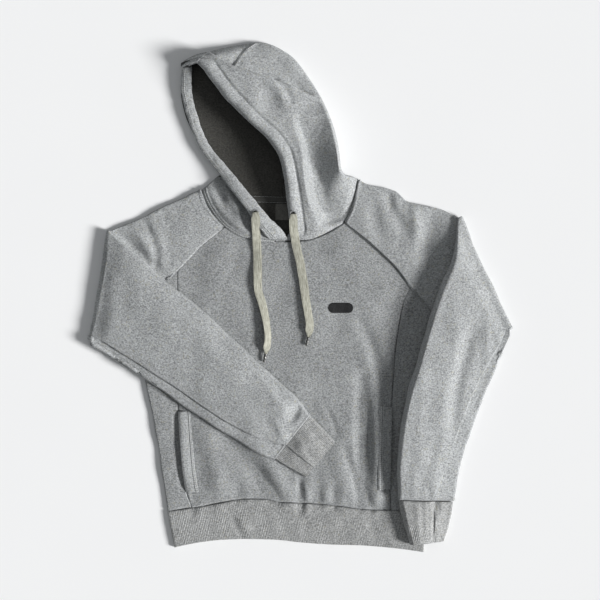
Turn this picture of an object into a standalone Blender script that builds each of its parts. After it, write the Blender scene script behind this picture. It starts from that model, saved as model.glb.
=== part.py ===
"""Pullover hoodie laid flat on its back, sleeves folded over the front.

Metres, +Z up. +X is the wearer's left, +Y runs from hem to hood, and the origin is on the surface
that the back panel rests on. Tables and named sizes are in millimetres.
"""

import math

import bmesh
import bpy
import numpy as np

MM = 0.001

# Cloth and how its layers lie
FLEECE = 2.4  # wall of the brushed fleece
RIB = 2.8  # wall of the folded rib of hem band and cuffs
GAP = 0.3  # between two pieces at a seam
LAYER_GAP = 0.6  # between the two layers of a piece that lies flat
FRONT_LIE = 2 * FLEECE + LAYER_GAP  # height of the front's outer face at the seams
RIB_LIE = 2 * RIB + LAYER_GAP
SEAM_DIP = 0.9  # a seam lies this much lower than the cloth beside it
SEAM_REACH = 4.0  # and the dip is this wide on each side
BODY_PUFF = 2.4  # the front stands up this much between its seams
HEM_PUFF = 0.8
SIDE_CROWN = 0.9  # the side fronts stand up this much
SIDE_LENGTH = 430.0  # of the side fronts, from hem to armhole
SIDE_CLEAR = 0.8  # between the back and the turned edges of the side fronts
EDGE_NEAR = 0.29  # halfway round a turned edge: this share of its radius inboard

# Drawcord: a flat woven lace with a crimped tip
LACE_WIDTH = 15.0
LACE_THICK = 1.8
TIP_LENGTH = 15.0
TIP_RADIUS = 2.4

# Neck tape and label, inside the back neck
TAPE_WIDTH = 12.0
TAPE_THICK = 0.8
LABEL_SIZE = (38.0, 29.0, 0.6)
LABEL_CENTRE = (-24.0, 149.0)

FLEECE_GREY = (0.36, 0.36, 0.36)
RIB_GREY = (0.33, 0.33, 0.33)
LACE_BEIGE = (0.50, 0.49, 0.41)
TIP_METAL = (0.22, 0.22, 0.21)
LABEL_WHITE = (0.72, 0.71, 0.68)

# Seam lines, (x, y) from the hem upwards
PRINCESS_RIGHT = [
    (-190, -368), (-201, -335), (-206, -300), (-210, -250), (-213, -205), (-217, -150),
    (-219, -75), (-215, 5), (-219, 49),
]
PRINCESS_LEFT = [
    (160, -374), (158, -324), (159, -268), (161, -192), (166, -110), (173, -54), (182, -8),
    (194, 16),
]
SIDE_RIGHT = [(-232, -375), (-238, -338), (-248, -268), (-259, -206), (-270, -154), (-284, -84), (-292, -30)]
SIDE_LEFT = [(220, -374), (222, -338), (226, -268), (236, -154), (243, -84), (247, -40)]
RAGLAN_RIGHT = [(-219, 49), (-201, 68), (-184, 86), (-158, 109), (-135, 126)]
RAGLAN_LEFT = [(194, 16), (179, 38), (163, 58), (138, 82), (110, 107), (77, 131)]
RAGLAN_BACK_RIGHT = [(-287.7, -30), (-138, 176)]
RAGLAN_BACK_LEFT = [(242.7, -40), (60, 189)]
NECK_FRONT = [(-135, 126), (-108, 109), (-84, 102), (-52, 99), (-21, 97), (8, 99), (36, 107), (58, 118), (77, 131)]
NECK_BACK = [(-138, 176), (-90, 171), (-30, 169), (20, 177), (60, 189)]
HEM_SEAM = [
    (-232, -375), (-187, -369), (-135, -360), (-100, -354), (-65, -354), (-30, -360), (38, -363),
    (105, -371), (160, -374), (220, -374),
]
HEM_EDGE = [
    (-220, -439), (-198, -434), (-170, -429), (-130, -425), (-96, -424), (-47, -425), (2, -430),
    (63, -434), (105, -435), (145, -438), (182, -442), (217, -447),
]

# Soft folds of the body: from (x, y) to (x, y), half width, height (a trough is negative)
BODY_FOLDS = [
    (108, -130, 104, -345, 15, -2.0),
    (136, -150, 132, -330, 12, 1.2),
    (105, -42, 149, -171, 16, -1.3),
    (42, -187, 66, -245, 8, -1.5),
    (78, -274, 122, -368, 11, -1.6),
    (52, -290, 92, -360, 12, 1.2),
    (-133, -257, -47, -346, 17, -1.9),
    (-150, -290, -80, -348, 14, 1.0),
    (-96, -232, -20, -322, 15, 1.0),
    (0, -326, -2, -362, 6, -1.8),
    (-150, 60, -60, 20, 16, 0.8),
    (150, 20, 90, 60, 16, 0.8),
]

# Sleeve, from neck and armhole to the fold: outer (over) edge, corner between neck seam and
# raglan seam, and under edge. The corner straightens out after the first row.
SLEEVE_ROW = ("over_x", "over_y", "knee_x", "knee_y", "under_x", "under_y", "puff")
SLEEVE_RIGHT_DOWN = [
    (-173, 187, -135, 126, -292, -30, 0.0),
    (-176, 186, -139, 123, -294, -32, 0.6),
    (-227, 164.5, -203, 112, -312, -42, 1.4),
    (-280, 139, -276, 92, -336, -57, 1.2),
    (-332, 117, -338, 68, -363, -74, 0.6),
]
SLEEVE_LEFT_DOWN = [
    (102, 205.5, 77, 131, 247, -40, 0.0),
    (106, 204, 81, 129, 250, -41, 0.6),
    (122.5, 196.5, 97, 125.5, 258, -42, 0.9),
    (150.5, 191, 133, 119, 278, -45, 1.2),
    (170, 184, 160, 113, 291, -47, 1.4),
    (188, 169, 186, 107.5, 303, -49, 1.4),
    (215, 160.5, 222, 101, 322, -52, 1.2),
    (245, 154.5, 257, 95, 342, -55, 1.0),
    (278, 140, 298, 86, 366, -58, 0.6),
]

# Sleeve, from the fold to the cuff seam: edges, height of the surface it lies on, height of its
# under edge, how far across it is carried, puff, and where the underarm seam runs across it
UPPER_ROW = ("over_x", "over_y", "under_x", "under_y", "bed", "edge", "carried", "puff", "seam_at")
SLEEVE_RIGHT_UP = [
    (-332, 114, -364, -80, 8.4, 8.4, 0.95, 0.5, 0.95),
    (-297, 84, -331, -105, 8.8, 5.0, 0.80, 3.6, 0.92),
    (-238, 30, -271, -143, 9.0, 7.0, 0.80, 6.0, 0.91),
    (-180, -15, -210, -187, 9.0, 8.6, 0.80, 7.0, 0.885),
    (-125, -66, -150, -226, 9.0, 8.8, 0.80, 7.0, 0.885),
    (-75, -113, -97, -260, 9.0, 8.8, 0.80, 6.6, 0.85),
    (-30, -153, -66, -276, 9.0, 8.8, 0.80, 5.6, 0.80),
    (0, -183, -53, -282, 9.0, 8.8, 0.80, 3.6, 0.75),
    (18.5, -207, -45, -284, 9.0, 8.8, 0.80, 0.4, 0.68),
]
SLEEVE_LEFT_UP = [
    (276, 138, 364, -62, 8.4, 8.4, 0.95, 0.5, 0.97),
    (268, 76, 353, -95, 8.8, 5.0, 0.78, 4.5, 0.94),
    (245, 19, 338, -137, 9.0, 1.0, 0.45, 8.5, 0.89),
    (225, -41, 322, -176, 9.0, 0.0, 0.20, 10.5, 0.86),
    (204, -114, 303, -228, 8.8, 0.0, 0.30, 11.0, 0.84),
    (185, -178, 287, -275, 8.8, 0.0, 0.42, 10.5, 0.82),
    (174, -240, 278, -308, 8.8, 0.0, 0.46, 9.5, 0.80),
    (169, -300, 274, -333, 8.8, 0.0, 0.48, 6.5, 0.73),
    (171, -354, 270, -358, 8.6, 0.0, 0.48, 0.4, 0.60),
]
SLEEVE_LOFT = 6.4  # height of the flattened sleeve
FOLD_INNER = 1.0  # radius of the fold's inner layer
SEAM_STEP = 2.2  # the underarm side lies this much lower
SLEEVE_FOLDS = [
    (-330, 100, -262, 60, 9, -1.5),
    (-246, 20, -180, -60, 16, 1.4),
    (-300, 20, -210, -70, 18, -1.2),
    (-120, -90, -60, -170, 14, 1.5),
    (-9, -198, -30, -240, 7, -2.4),
    (10, -200, -20, -246, 6, 1.4),
    (262, 60, 300, -60, 14, -1.4),
    (240, -20, 262, -180, 14, 1.5),
    (280, -60, 268, -200, 16, -1.2),
    (200, -200, 206, -330, 10, 1.2),
    (238, -300, 226, -350, 8, -2.0),
]

CUFF_ROW = ("over_x", "over_y", "under_x", "under_y", "bed", "edge", "carried", "puff", "seam_at")
CUFF_RIGHT = [
    (19, -209, -44, -285, 9.0, 8.8, 0.80, 0.2, 0.68),
    (38, -228, -20, -298, 9.0, 8.8, 0.80, 1.2, 0.70),
    (61, -253, 10, -315, 9.0, 8.8, 0.80, 0.8, 0.72),
]
CUFF_LEFT = [
    (172, -358, 268, -362, 8.4, 0.0, 0.46, 0.2, 0.66),
    (181, -395, 263, -392, 8.0, 0.0, 0.42, 1.4, 0.69),
    (193, -433, 252, -428, 8.0, 0.0, 0.38, 1.0, 0.70),
]

# Wearer's left half of the hood, on top: one row per section from the mouth edge, over the top,
# round the outer side and back under it to the centre seam. Heights are of the outer face.
HOOD_LEFT_ROW = (
    "mouth_x", "mouth_y", "mouth_z", "roll_z", "casing_z", "ridge_at", "ridge_z", "valley_at",
    "valley_z", "rim_z", "side_x", "side_y", "bow", "seam_x", "seam_y",
)
HOOD_LEFT_SECTIONS = [
    (-27, 98, 5.4, 5.4, 5.4, 0.45, 5.4, 0.75, 5.4, 5.4, 102, 205.5, 31, -30, 170),
    (-19, 117, 9.5, 12, 10, 0.45, 12, 0.75, 9, 6.4, 92, 211, 24, -29, 182),
    (-21, 140, 16, 21, 18, 0.48, 20, 0.75, 10, 9, 79, 214, 13, -27, 200),
    (-25, 172, 24, 30, 26, 0.50, 30, 0.76, 13, 12, 72, 224, 5, -25, 225),
    (-30, 208, 30, 36, 32, 0.52, 35, 0.78, 17, 15, 69, 250, 0, -25, 255),
    (-38, 242, 34, 41, 38, 0.52, 40, 0.80, 25, 18, 62, 285, 0, -27, 290),
    (-56, 271, 36, 43, 41, 0.50, 42, 0.75, 35, 20, 50, 320, 0, -32, 325),
    (-84, 297, 36, 43, 41, 0.45, 41, 0.70, 38, 20, 36, 350, 0, -40, 360),
    (-110, 322, 35, 42, 39, 0.68, 38, 0.86, 21, 18, 10, 383, 0, -52, 395),
    (-135, 348, 33, 40, 37, 0.44, 38, 0.62, 22, 16, -18, 424, 0, -62, 418),
    (-155, 374, 30, 37, 34, 0.38, 35, 0.58, 22, 15, -68, 446, 0, -78, 432),
    (-170, 396, 27, 33, 30, 0.42, 30, 0.66, 22, 15, -112, 441, 0, -114, 430),
    (-181, 411, 23, 27, 25, 0.45, 25, 0.66, 20, 14, -152, 432, 0, -152, 421),
    (-196, 408, 15, 18, 17, 0.45, 16, 0.66, 14, 10, -182, 425, 0, -181, 417),
    (-206, 402, 8, 9, 8.5, 0.45, 8, 0.66, 7.5, 7, -204, 414, 0, -203, 406),
]
CASING = 25.0  # width of the stitched casing along the mouth

# Wearer's right half, under: one row per rib from the neck seam to the mouth edge. It turns over
# at the wearer's right shoulder; beyond that it lies on the ground with its inside up.
HOOD_RIGHT_ROW = (
    "neck_x", "neck_y", "neck_z", "mouth_x", "mouth_y", "mouth_z", "belly_z", "trough_z",
    "roll_z", "spread",
)
HOOD_RIGHT_RIBS = [
    (-50, 99, 6.4, -20, 95, 11.5, 8, 9.5, 11.5, 0),
    (-84, 102.5, 5.4, -34, 113, 17, 9, 8, 18, 0),
    (-108, 109, 5.4, -49, 134, 21, 11, 7.5, 23, 0),
    (-135, 126, 5.4, -68, 158, 23, 14, 7, 25, 0),
    (-152, 146, 5.4, -87, 179, 21, 13, 7, 23, 0),
    (-163, 163, 5.4, -105, 195, 17, 10, 7, 19, 0),
    (-170, 181, 5.4, -130, 207, 9, 7, 7, 9.5, 0),
    (-171.2, 188.8, 2.7, -144, 212, 3.5, 3, 3.5, 3.5, 0),
    (-168.4, 188.0, 0, -140.8, 213.5, 0, 0, 0, 0, 0),
    (-140, 177.6, 0, -140, 214.1, 0, 0, 0, 0, 0),
    (-112, 172.9, 0, -139.9, 215.3, 0, 0, 0, 0, 0),
    (-98, 171.8, 0, -140.7, 217.5, 0, 0, 0, 0, 0),
    (-86, 171.2, 0, -143.5, 222, 0, 0, 0, 0, 0.02),
    (-76, 170.7, 0, -151, 231, 0, 0, 0, 0, 0.06),
    (-66, 170.4, 0, -166, 251, 0, 0, 0, 0, 0.13),
    (-57, 170.2, 0, -188, 288, 0, 0, 0, 0, 0.26),
    (-48, 170, 0, -203, 325, 0, 0, 0, 0, 0.46),
    (-40, 170, 0, -209, 362, 0, 0, 0, 0, 0.7),
    (-30, 170, 0, -207, 398, 0, 0, 0, 0, 1.0),
]
HOOD_RIGHT_FLAT = 7  # from this rib on the cloth lies on the ground

WELT_WIDTH = 22.0
WELT_THICK = 1.8
WELT_RISE = 4.0  # the welt's open edge stands up this much, most at its middle
WELTS = {"right": (PRINCESS_RIGHT, -342, -200, 1), "left": (PRINCESS_LEFT, -338, -192, -1)}

# Drawcord routes, (x, y, height of the lace's middle above the ground, or None: on the front)
CORD_RIGHT = [
    (-77, 147, 27.5), (-77, 138, 27), (-77, 129, 24), (-76.5, 120, 18.5), (-76, 110, 14.0),
    (-75.5, 98, 11.0), (-75, 84, None), (-74.5, 70, None), (-74, 50, None), (-74, 30, None), (-73, 12, None),
    (-67, -8, None), (-62, -28, None), (-58, -50, None), (-56, -70, None), (-58, -88, None),
    (-60, -99, None),
]
CORD_LEFT = [
    (-11, 143, 24.5), (-11.5, 134, 22.5), (-11.5, 125, 18.5), (-11, 116, 14.5), (-9, 105, 11.2),
    (-7, 92, None), (-4, 80, None), (0, 62, None), (3, 44, None), (7, 20, None), (10, -4, None),
    (14, -28, None), (17, -48, None), (16, -62, None), (14.5, -70, None),
]


SEAM_INSET = 0.35  # how far each edge keeps inside its seam line
ARMHOLE_INSET = 0.8  # the same, where curved seams meet
NECK_INSET = 1.4
COLLECTION = "Pullover hoodie"
GUIDES = "Guides"

# Sleeve heads: the neck seam from the fold edge to the corner, and the raglan seam on to the armpit
HEAD_CORNER = 0.25  # the corner's place across the sleeve, as a share of its width
HEAD_RIGHT = ([(-173, 187), (-161, 158), (-135, 126)], [*reversed(RAGLAN_RIGHT), (-292, -30)])
HEAD_LEFT = ([(102, 205.5), (92, 161), (77, 131)], [*reversed(RAGLAN_LEFT), (247, -40)])
HEAD_BACK_RIGHT = ([(-173, 187), (-138, 176)], [(-138, 176), (-292, -30)])
HEAD_BACK_LEFT = ([(102, 205.5), (60, 189)], [(60, 189), (247, -40)])
# Neck seam of the hood's left half, from the front crossing to the shoulder
NECK_LINE_LEFT = [(-27, 98), (8, 99), (36, 107), (58, 118), (77, 131), (92, 161), (102, 205.5)]

# Rows of points: up the princess seam, as shares of its length, and up the hood, as places in its table
SEAM_ROWS = np.concatenate([[0, 0.012], np.linspace(0.07, 0.98, 14), [1]])
HOOD_ROWS = np.linspace(0, len(HOOD_LEFT_SECTIONS) - 1, 27)


def smooth(t):
    """0 below 0, 1 above 1, with a soft start and end between."""
    t = np.clip(t, 0, 1)
    return t * t * (3 - 2 * t)


def curve_through(knots, values, at):
    """Smooth curve through the rows of values that never overshoots them."""
    knots, values, at = (np.asarray(a, float) for a in (knots, values, at))
    step = np.diff(knots)[:, None]
    rise = np.diff(values, axis=0) / step
    before, after = rise[:-1], rise[1:]
    same_way = before * after > 0
    slope = np.zeros_like(values)
    slope[0], slope[-1] = rise[0], rise[-1]
    slope[1:-1] = np.where(same_way, 2 * before * after / np.where(same_way, before + after, 1), 0)
    i = np.clip(np.searchsorted(knots, at, side="right") - 1, 0, len(step) - 1)
    t = (at[:, None] - knots[i, None]) / step[i]
    return (
        (2 * t**3 - 3 * t**2 + 1) * values[i]
        + (t**3 - 2 * t**2 + t) * step[i] * slope[i]
        + (3 * t**2 - 2 * t**3) * values[i + 1]
        + (t**3 - t**2) * step[i] * slope[i + 1]
    )


def lengths(points):
    """Distance along the points, from 0."""
    steps = np.linalg.norm(np.diff(np.asarray(points, float), axis=0), axis=1)
    return np.concatenate([[0], np.cumsum(steps)])


def along(points, at):
    """Points at fractions of the length of the smooth curve through the given points."""
    far = lengths(points)
    return curve_through(far / far[-1], points, at)


def table_rows(columns, table, at):
    """The table's rows at fractional row numbers, one array for each named column."""
    values = curve_through(np.arange(len(table)), table, at)
    return {name: values[:, i] for i, name in enumerate(columns)}


def ridges(folds, x, y):
    """Height of the soft folds at x, y."""
    height = np.zeros_like(x)
    for x0, y0, x1, y1, width, tall in folds:
        reach = (x1 - x0) ** 2 + (y1 - y0) ** 2
        t = ((x - x0) * (x1 - x0) + (y - y0) * (y1 - y0)) / reach
        near = np.clip(t, 0, 1)
        away = np.hypot(x - x0 - near * (x1 - x0), y - y0 - near * (y1 - y0))
        fade = 1 - 0.5 * np.abs(2 * near - 1) ** 2
        height += tall * fade * np.exp(-((away / width) ** 2))
    return height


# Everything below builds objects -------------------------------------------------------------


def clear_scene():
    for obj in list(bpy.data.objects):
        bpy.data.objects.remove(obj, do_unlink=True)


def finish(name, colour, roughness, metallic=0.0):
    material = bpy.data.materials.new(name)
    material.use_nodes = True
    shader = material.node_tree.nodes["Principled BSDF"]
    shader.inputs["Base Color"].default_value = (*colour, 1)
    shader.inputs["Roughness"].default_value = roughness
    shader.inputs["Metallic"].default_value = metallic
    return material


def add_object(name, data, material):
    obj = bpy.data.objects.new(name, data)
    data.materials.append(material)
    bpy.data.collections[COLLECTION].objects.link(obj)
    return obj


def cloth(name, rows, wall, material, tube=False, flip=False):
    """A wall of cloth whose outer face runs through the rows of points; a tube joins first to last."""
    rows = np.asarray(rows, float)
    if flip:
        rows = rows[:, ::-1]
    shape = bmesh.new()
    verts = [[shape.verts.new(point * MM) for point in row] for row in rows]
    count = len(verts[0])
    for low, high in zip(verts, verts[1:]):
        for i in range(count if tube else count - 1):
            j = (i + 1) % count
            shape.faces.new((low[i], low[j], high[j], high[i]))
    mesh = bpy.data.meshes.new(name)
    shape.to_mesh(mesh)
    shape.free()
    mesh.shade_smooth()
    obj = add_object(name, mesh, material)
    solid = obj.modifiers.new("wall", "SOLIDIFY")
    solid.thickness = wall * MM
    solid.offset = -1
    solid.use_even_offset = True
    solid.use_quality_normals = True
    return obj


def pulled_in(rows, inset):
    """The rows with the first one moved towards the second, off its seam line."""
    rows = np.array(rows, float)
    step = rows[1] - rows[0]
    rows[0] += step * np.minimum(inset / np.linalg.norm(step, axis=1, keepdims=True), 0.6)
    return rows


def between_edges(count, length, edge):
    """Fractions across a panel: its two edges, a line close inside each, and even steps between."""
    first = edge / length
    return np.concatenate([[0], np.linspace(first, 1 - first, count - 2), [1]])


# Body ----------------------------------------------------------------------------------------


def x_at(line, y):
    """x of a seam line at height y."""
    line = np.asarray(line, float)
    return np.interp(y, line[:, 1], line[:, 0])


def y_at(line, x):
    line = np.asarray(line, float)
    return np.interp(x, line[:, 0], line[:, 1])


def front_height(x, y):
    """Outer face of the front, seams included."""
    x, y = np.broadcast_arrays(np.asarray(x, float), np.asarray(y, float))
    right_seam = PRINCESS_RIGHT + RAGLAN_RIGHT[1:]
    left_seam = PRINCESS_LEFT + RAGLAN_LEFT[1:]
    to_sides = np.minimum(np.abs(x - x_at(right_seam, y)), np.abs(x_at(left_seam, y) - x))
    to_ends = np.minimum(y - y_at(HEM_SEAM, x), y_at(NECK_FRONT, x) - y)
    near = np.clip(np.minimum(to_sides, to_ends), 0, None)
    centre = (x > x_at(right_seam, y)) & (x < x_at(left_seam, y))
    puff = BODY_PUFF * smooth(to_sides / 70) * smooth(to_ends / 60) * centre
    dip = SEAM_DIP * smooth(near / SEAM_REACH)
    inside = smooth(near / 25)
    return FRONT_LIE + dip + puff + ridges(BODY_FOLDS, x, y) * inside


def seam_chain(lower, upper, corner_at, at):
    """Points up one seam and on up the next, with the corner between them at a given fraction."""
    at = np.asarray(at, float)
    first = along(lower, np.clip(at / corner_at, 0, 1))
    second = along(upper, np.clip((at - corner_at) / (1 - corner_at), 0, 1))
    return np.where((at <= corner_at)[:, None], first, second)


def front_panel(material):
    corner_at = 0.8
    up = np.concatenate([SEAM_ROWS * corner_at, [0.85, 0.9, 0.95, 0.99, 1]])
    across = between_edges(15, 370, SEAM_REACH)
    right = seam_chain(PRINCESS_RIGHT, RAGLAN_RIGHT, corner_at, up) + (SEAM_INSET, 0)
    left = seam_chain(PRINCESS_LEFT, RAGLAN_LEFT, corner_at, up) - (SEAM_INSET, 0)
    hem = curve_x(HEM_SEAM, right[0], left[0], across) + (0, SEAM_INSET)
    neck = curve_x(NECK_FRONT, right[-1], left[-1], across) - (0, SEAM_INSET)
    rows = []
    for v, start, end in zip(up, right, left):
        straight = start + (end - start) * across[:, None]
        low = hem - (right[0] + (left[0] - right[0]) * across[:, None])
        high = neck - (right[-1] + (left[-1] - right[-1]) * across[:, None])
        plan = straight + low * (1 - v) ** 2 + high * smooth((v - 0.45) / 0.55)
        rows.append(np.column_stack([plan, front_height(plan[:, 0], plan[:, 1])]))
    return cloth("front", rows, FLEECE, material)


def curve_x(line, start, end, across):
    """Points of a seam line from one x to another."""
    x = start[0] + (end[0] - start[0]) * across
    line = np.asarray(line, float)
    return np.column_stack([x, curve_through(line[:, 0], line[:, 1:], x)[:, 0]])


def turned_edge(height, radius):
    """Half round from the outer face over the edge to the ground: (distance inboard, height)."""
    return [
        (radius, height),
        (EDGE_NEAR * radius, 0.85 * height),
        (0, 0.5 * height),
        (EDGE_NEAR * radius, 0.15 * height),
        (radius, 0),
    ]


def side_front(name, seam, side, material, outward):
    """Front panel between princess seam and side, turned under at the side to meet the back."""
    seam_line = along(seam, SEAM_ROWS) + (outward * SEAM_INSET, 0)
    side_line = along(side, SEAM_ROWS)
    rows = []
    for v, inner, outer in zip(SEAM_ROWS, seam_line, side_line):
        width = np.linalg.norm(outer - inner)
        to_inner = (inner - outer) / width
        end_dip = SEAM_DIP * smooth(min(v, 1 - v) * SIDE_LENGTH / SEAM_REACH)
        full = FRONT_LIE + end_dip
        turn = turned_edge(full, full / 2)
        profile = [(width, FRONT_LIE), (width - SEAM_REACH, full)]
        for part in (0.7, 0.4):
            crown = SIDE_CROWN * math.sin(math.pi * part) * min(1, 8 * min(v, 1 - v))
            profile.append((part * width, full + crown))
        profile += turn + [(full / 2 + SIDE_CLEAR, 0)]
        row = [(*(outer + to_inner * inboard), z) for inboard, z in profile]
        rows.append(row)
    return cloth(name, rows, FLEECE, material, flip=outward < 0)


def back_panel(material):
    """Flat on the ground, inside the turned edges of the side fronts."""
    corner_at = 0.62
    inset = FRONT_LIE / 2 + SIDE_CLEAR + SEAM_DIP / 2 + SEAM_INSET
    up = np.concatenate([np.linspace(0, corner_at, 8), np.linspace(corner_at, 1, 6)[1:]])
    across = np.linspace(0, 1, 17)
    side_right = [(x + inset, y) for x, y in SIDE_RIGHT]
    side_left = [(x - inset, y) for x, y in SIDE_LEFT]
    right = seam_chain(side_right, RAGLAN_BACK_RIGHT, corner_at, up) + (SEAM_INSET, 0)
    left = seam_chain(side_left, RAGLAN_BACK_LEFT, corner_at, up) - (SEAM_INSET, 0)
    hem = curve_x(HEM_SEAM, right[0], left[0], across) + (0, SEAM_INSET)
    neck = curve_x(NECK_BACK, right[-1], left[-1], across) - (0, SEAM_INSET)
    rows = []
    for v, start, end in zip(up, right, left):
        straight = start + (end - start) * across[:, None]
        low = hem - (right[0] + (left[0] - right[0]) * across[:, None])
        high = neck - (right[-1] + (left[-1] - right[-1]) * across[:, None])
        plan = straight + low * (1 - v) ** 2 + high * v**6
        rows.append(np.column_stack([plan, np.zeros(len(plan))]))
    return cloth("back", rows, FLEECE, material, flip=True)


def flat_loop(front, back, front_z, back_z):
    """Closed loop round a flattened tube: across one layer, round the edge and back on the other."""
    middle = (np.asarray(front_z) + np.asarray(back_z)) / 2
    first = np.column_stack([front, front_z])
    second = np.column_stack([back, back_z])
    first[0, 2], first[-1, 2] = middle[0], middle[-1]
    return np.concatenate([first, second[-2:0:-1]])


def edge_places(width, radius, inner):
    """Distances across a flattened tube: round both edges, and at the given places between."""
    near = [0, EDGE_NEAR * radius, radius]
    return np.array(near + list(inner) + [width - d for d in reversed(near)])


EDGE_ROUND = np.array([0, 0.71, 1])  # share of the half height at the first three places


def layer_share(count):
    return np.concatenate([EDGE_ROUND, np.ones(count - 6), EDGE_ROUND[::-1]])


def hem_band(material):
    """Rib tube below the hem seam, open at both ends."""
    rows = []
    for down in (1.0, 0.93, 0.72, 0.45, 0.2, 0.06, 0.0):
        start = np.array(HEM_SEAM[0]) * (1 - down) + np.array(HEM_EDGE[0]) * down
        end = np.array(HEM_SEAM[-1]) * (1 - down) + np.array(HEM_EDGE[-1]) * down
        width = end[0] - start[0]
        places = edge_places(width, RIB_LIE / 2, width * np.linspace(0.07, 0.93, 13))
        across = places / width
        seam = curve_x(HEM_SEAM, start, end, across) - (0, GAP + SEAM_INSET)
        edge = curve_x(HEM_EDGE, start, end, across)
        plan = seam + (edge - seam) * down
        share = layer_share(len(places))
        middle = (RIB_LIE + HEM_PUFF * math.sin(math.pi * min(1, 1.1 * down))) / 2
        rows.append(flat_loop(plan, plan, middle + share * middle, middle - share * middle))
    return cloth("hem_band", rows, RIB, material, tube=True)


# Sleeves and cuffs ---------------------------------------------------------------------------


def sleeve_places(width, height, seam_at):
    seam = seam_at * width
    inner = [0.12 * width, HEAD_CORNER * width, 0.33 * width, 0.45 * width, 0.62 * width, seam - 2.5, seam + 2.5]
    return edge_places(width, height / 2, sorted(inner))


def sleeve_down(table, head_front, head_back):
    """Loops of the run that lies on the ground, from neck and armhole to the fold."""
    last = len(table) - 1
    at = np.concatenate([[0, 0.6], np.linspace(1, last, max(7, last))])
    row = table_rows(SLEEVE_ROW, table, at)
    middle = np.column_stack([row["over_x"] + row["under_x"], row["over_y"] + row["under_y"]]) / 2
    gone = lengths(middle) / lengths(middle)[-1]
    loops = []
    for i in range(len(at)):
        over = (row["over_x"][i], row["over_y"][i])
        knee = (row["knee_x"][i], row["knee_y"][i])
        under = (row["under_x"][i], row["under_y"][i])
        width = lengths([over, knee, under])[-1]
        height = FRONT_LIE + (SLEEVE_LOFT - FRONT_LIE) * smooth(at[i])
        part = sleeve_places(width, height, 0.93) / width
        plan = seam_chain([over, knee], [knee, under], HEAD_CORNER, part)
        if i == 0:
            first = (over, knee, under)
        straight = seam_chain(first[:2], first[1:], HEAD_CORNER, part)
        lead = seam_chain(*head_front, HEAD_CORNER, part) - straight
        tail = seam_chain(*head_back, HEAD_CORNER, part) - straight
        fade = 1 - smooth(gone[i])
        share = layer_share(len(part))
        lens = (4 * part * (1 - part)) ** 0.7
        top = height / 2 + share * height / 2 + row["puff"][i] * lens
        low = height / 2 - share * height / 2
        loops.append(flat_loop(plan + lead * fade, plan + tail * fade, top, low))
    return loops


def fold_over(loop, axis_height, outward, turn):
    """The loop swung about its own line, at axis_height, by an angle."""
    radius = axis_height - loop[:, 2]
    swung = loop.copy()
    swung[:, :2] += np.outer(radius * math.sin(turn), outward)
    swung[:, 2] = axis_height - radius * math.cos(turn)
    return swung


def upper_run(columns, table, at, height, step, grown):
    """Loops of cloth that lies over the front: from the fold to the cuff, or along a cuff."""
    row = table_rows(columns, table, at)
    loops = []
    for i in range(len(at)):
        over = np.array([row["over_x"][i], row["over_y"][i]])
        under = np.array([row["under_x"][i], row["under_y"][i]])
        width = np.linalg.norm(under - over)
        places = sleeve_places(width, height, row["seam_at"][i])
        part = places / width
        plan = over + (under - over) * part[:, None]
        droop = smooth((part - row["carried"][i]) / (1 - row["carried"][i]))
        bed = row["bed"][i] + (row["edge"][i] - row["bed"][i]) * droop
        cleared = front_height(plan[:, 0], plan[:, 1]) + LAYER_GAP
        over_front = (plan[:, 0] > -255) & (plan[:, 0] < 215) & (plan[:, 1] > -374)
        bed = np.where(over_front, np.maximum(bed, cleared), bed)
        grow = grown(at[i])
        stepped = step * grow * (1 - smooth((part - row["seam_at"][i] + 0.02) / 0.04))
        lens = np.clip(4 * part * (1 - part), 0, 1) ** 0.7
        crease = ridges(SLEEVE_FOLDS, plan[:, 0], plan[:, 1]) * smooth(lens / 0.5) * grow
        full = height + stepped + row["puff"][i] * lens + crease
        share = layer_share(len(places))
        top = bed + full / 2 + share * full / 2
        low = bed + full / 2 - share * full / 2
        loops.append(flat_loop(plan, plan, low, top))
    return loops


def sleeve(name, down, up, front_line, back_line, material, flip):
    loops = sleeve_down(down, front_line, back_line)
    last = loops[-1]
    line = last[len(last) // 2, :2] - last[0, :2]
    outward = np.array([line[1], -line[0]]) / np.linalg.norm(line)
    if outward @ (last[0, :2] - loops[0][0, :2]) < 0:
        outward = -outward
    axis_height = SLEEVE_LOFT + FOLD_INNER
    for turn in (40, 75, 105, 140):
        loops.append(fold_over(last, axis_height, outward, math.radians(turn)))
    rows = np.linspace(0, len(up) - 1, 17)
    rows = np.concatenate([[0], rows[1:], [rows[-1] - 0.06]])
    loops += upper_run(UPPER_ROW, up, np.sort(rows), SLEEVE_LOFT, SEAM_STEP, lambda at: smooth(at))
    loops = pulled_in(loops, ARMHOLE_INSET)
    return cloth(name, loops, FLEECE, material, tube=True, flip=flip)


def cuff(name, table, material, flip):
    at = np.array([0.0, 0.12, 0.5, 1.0, 1.5, 1.88, 2.0])
    loops = upper_run(CUFF_ROW, table, at, RIB_LIE, SEAM_STEP, lambda at: 1.0)
    return cloth(name, loops, RIB, material, tube=True, flip=flip)


# Hood ----------------------------------------------------------------------------------------

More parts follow.
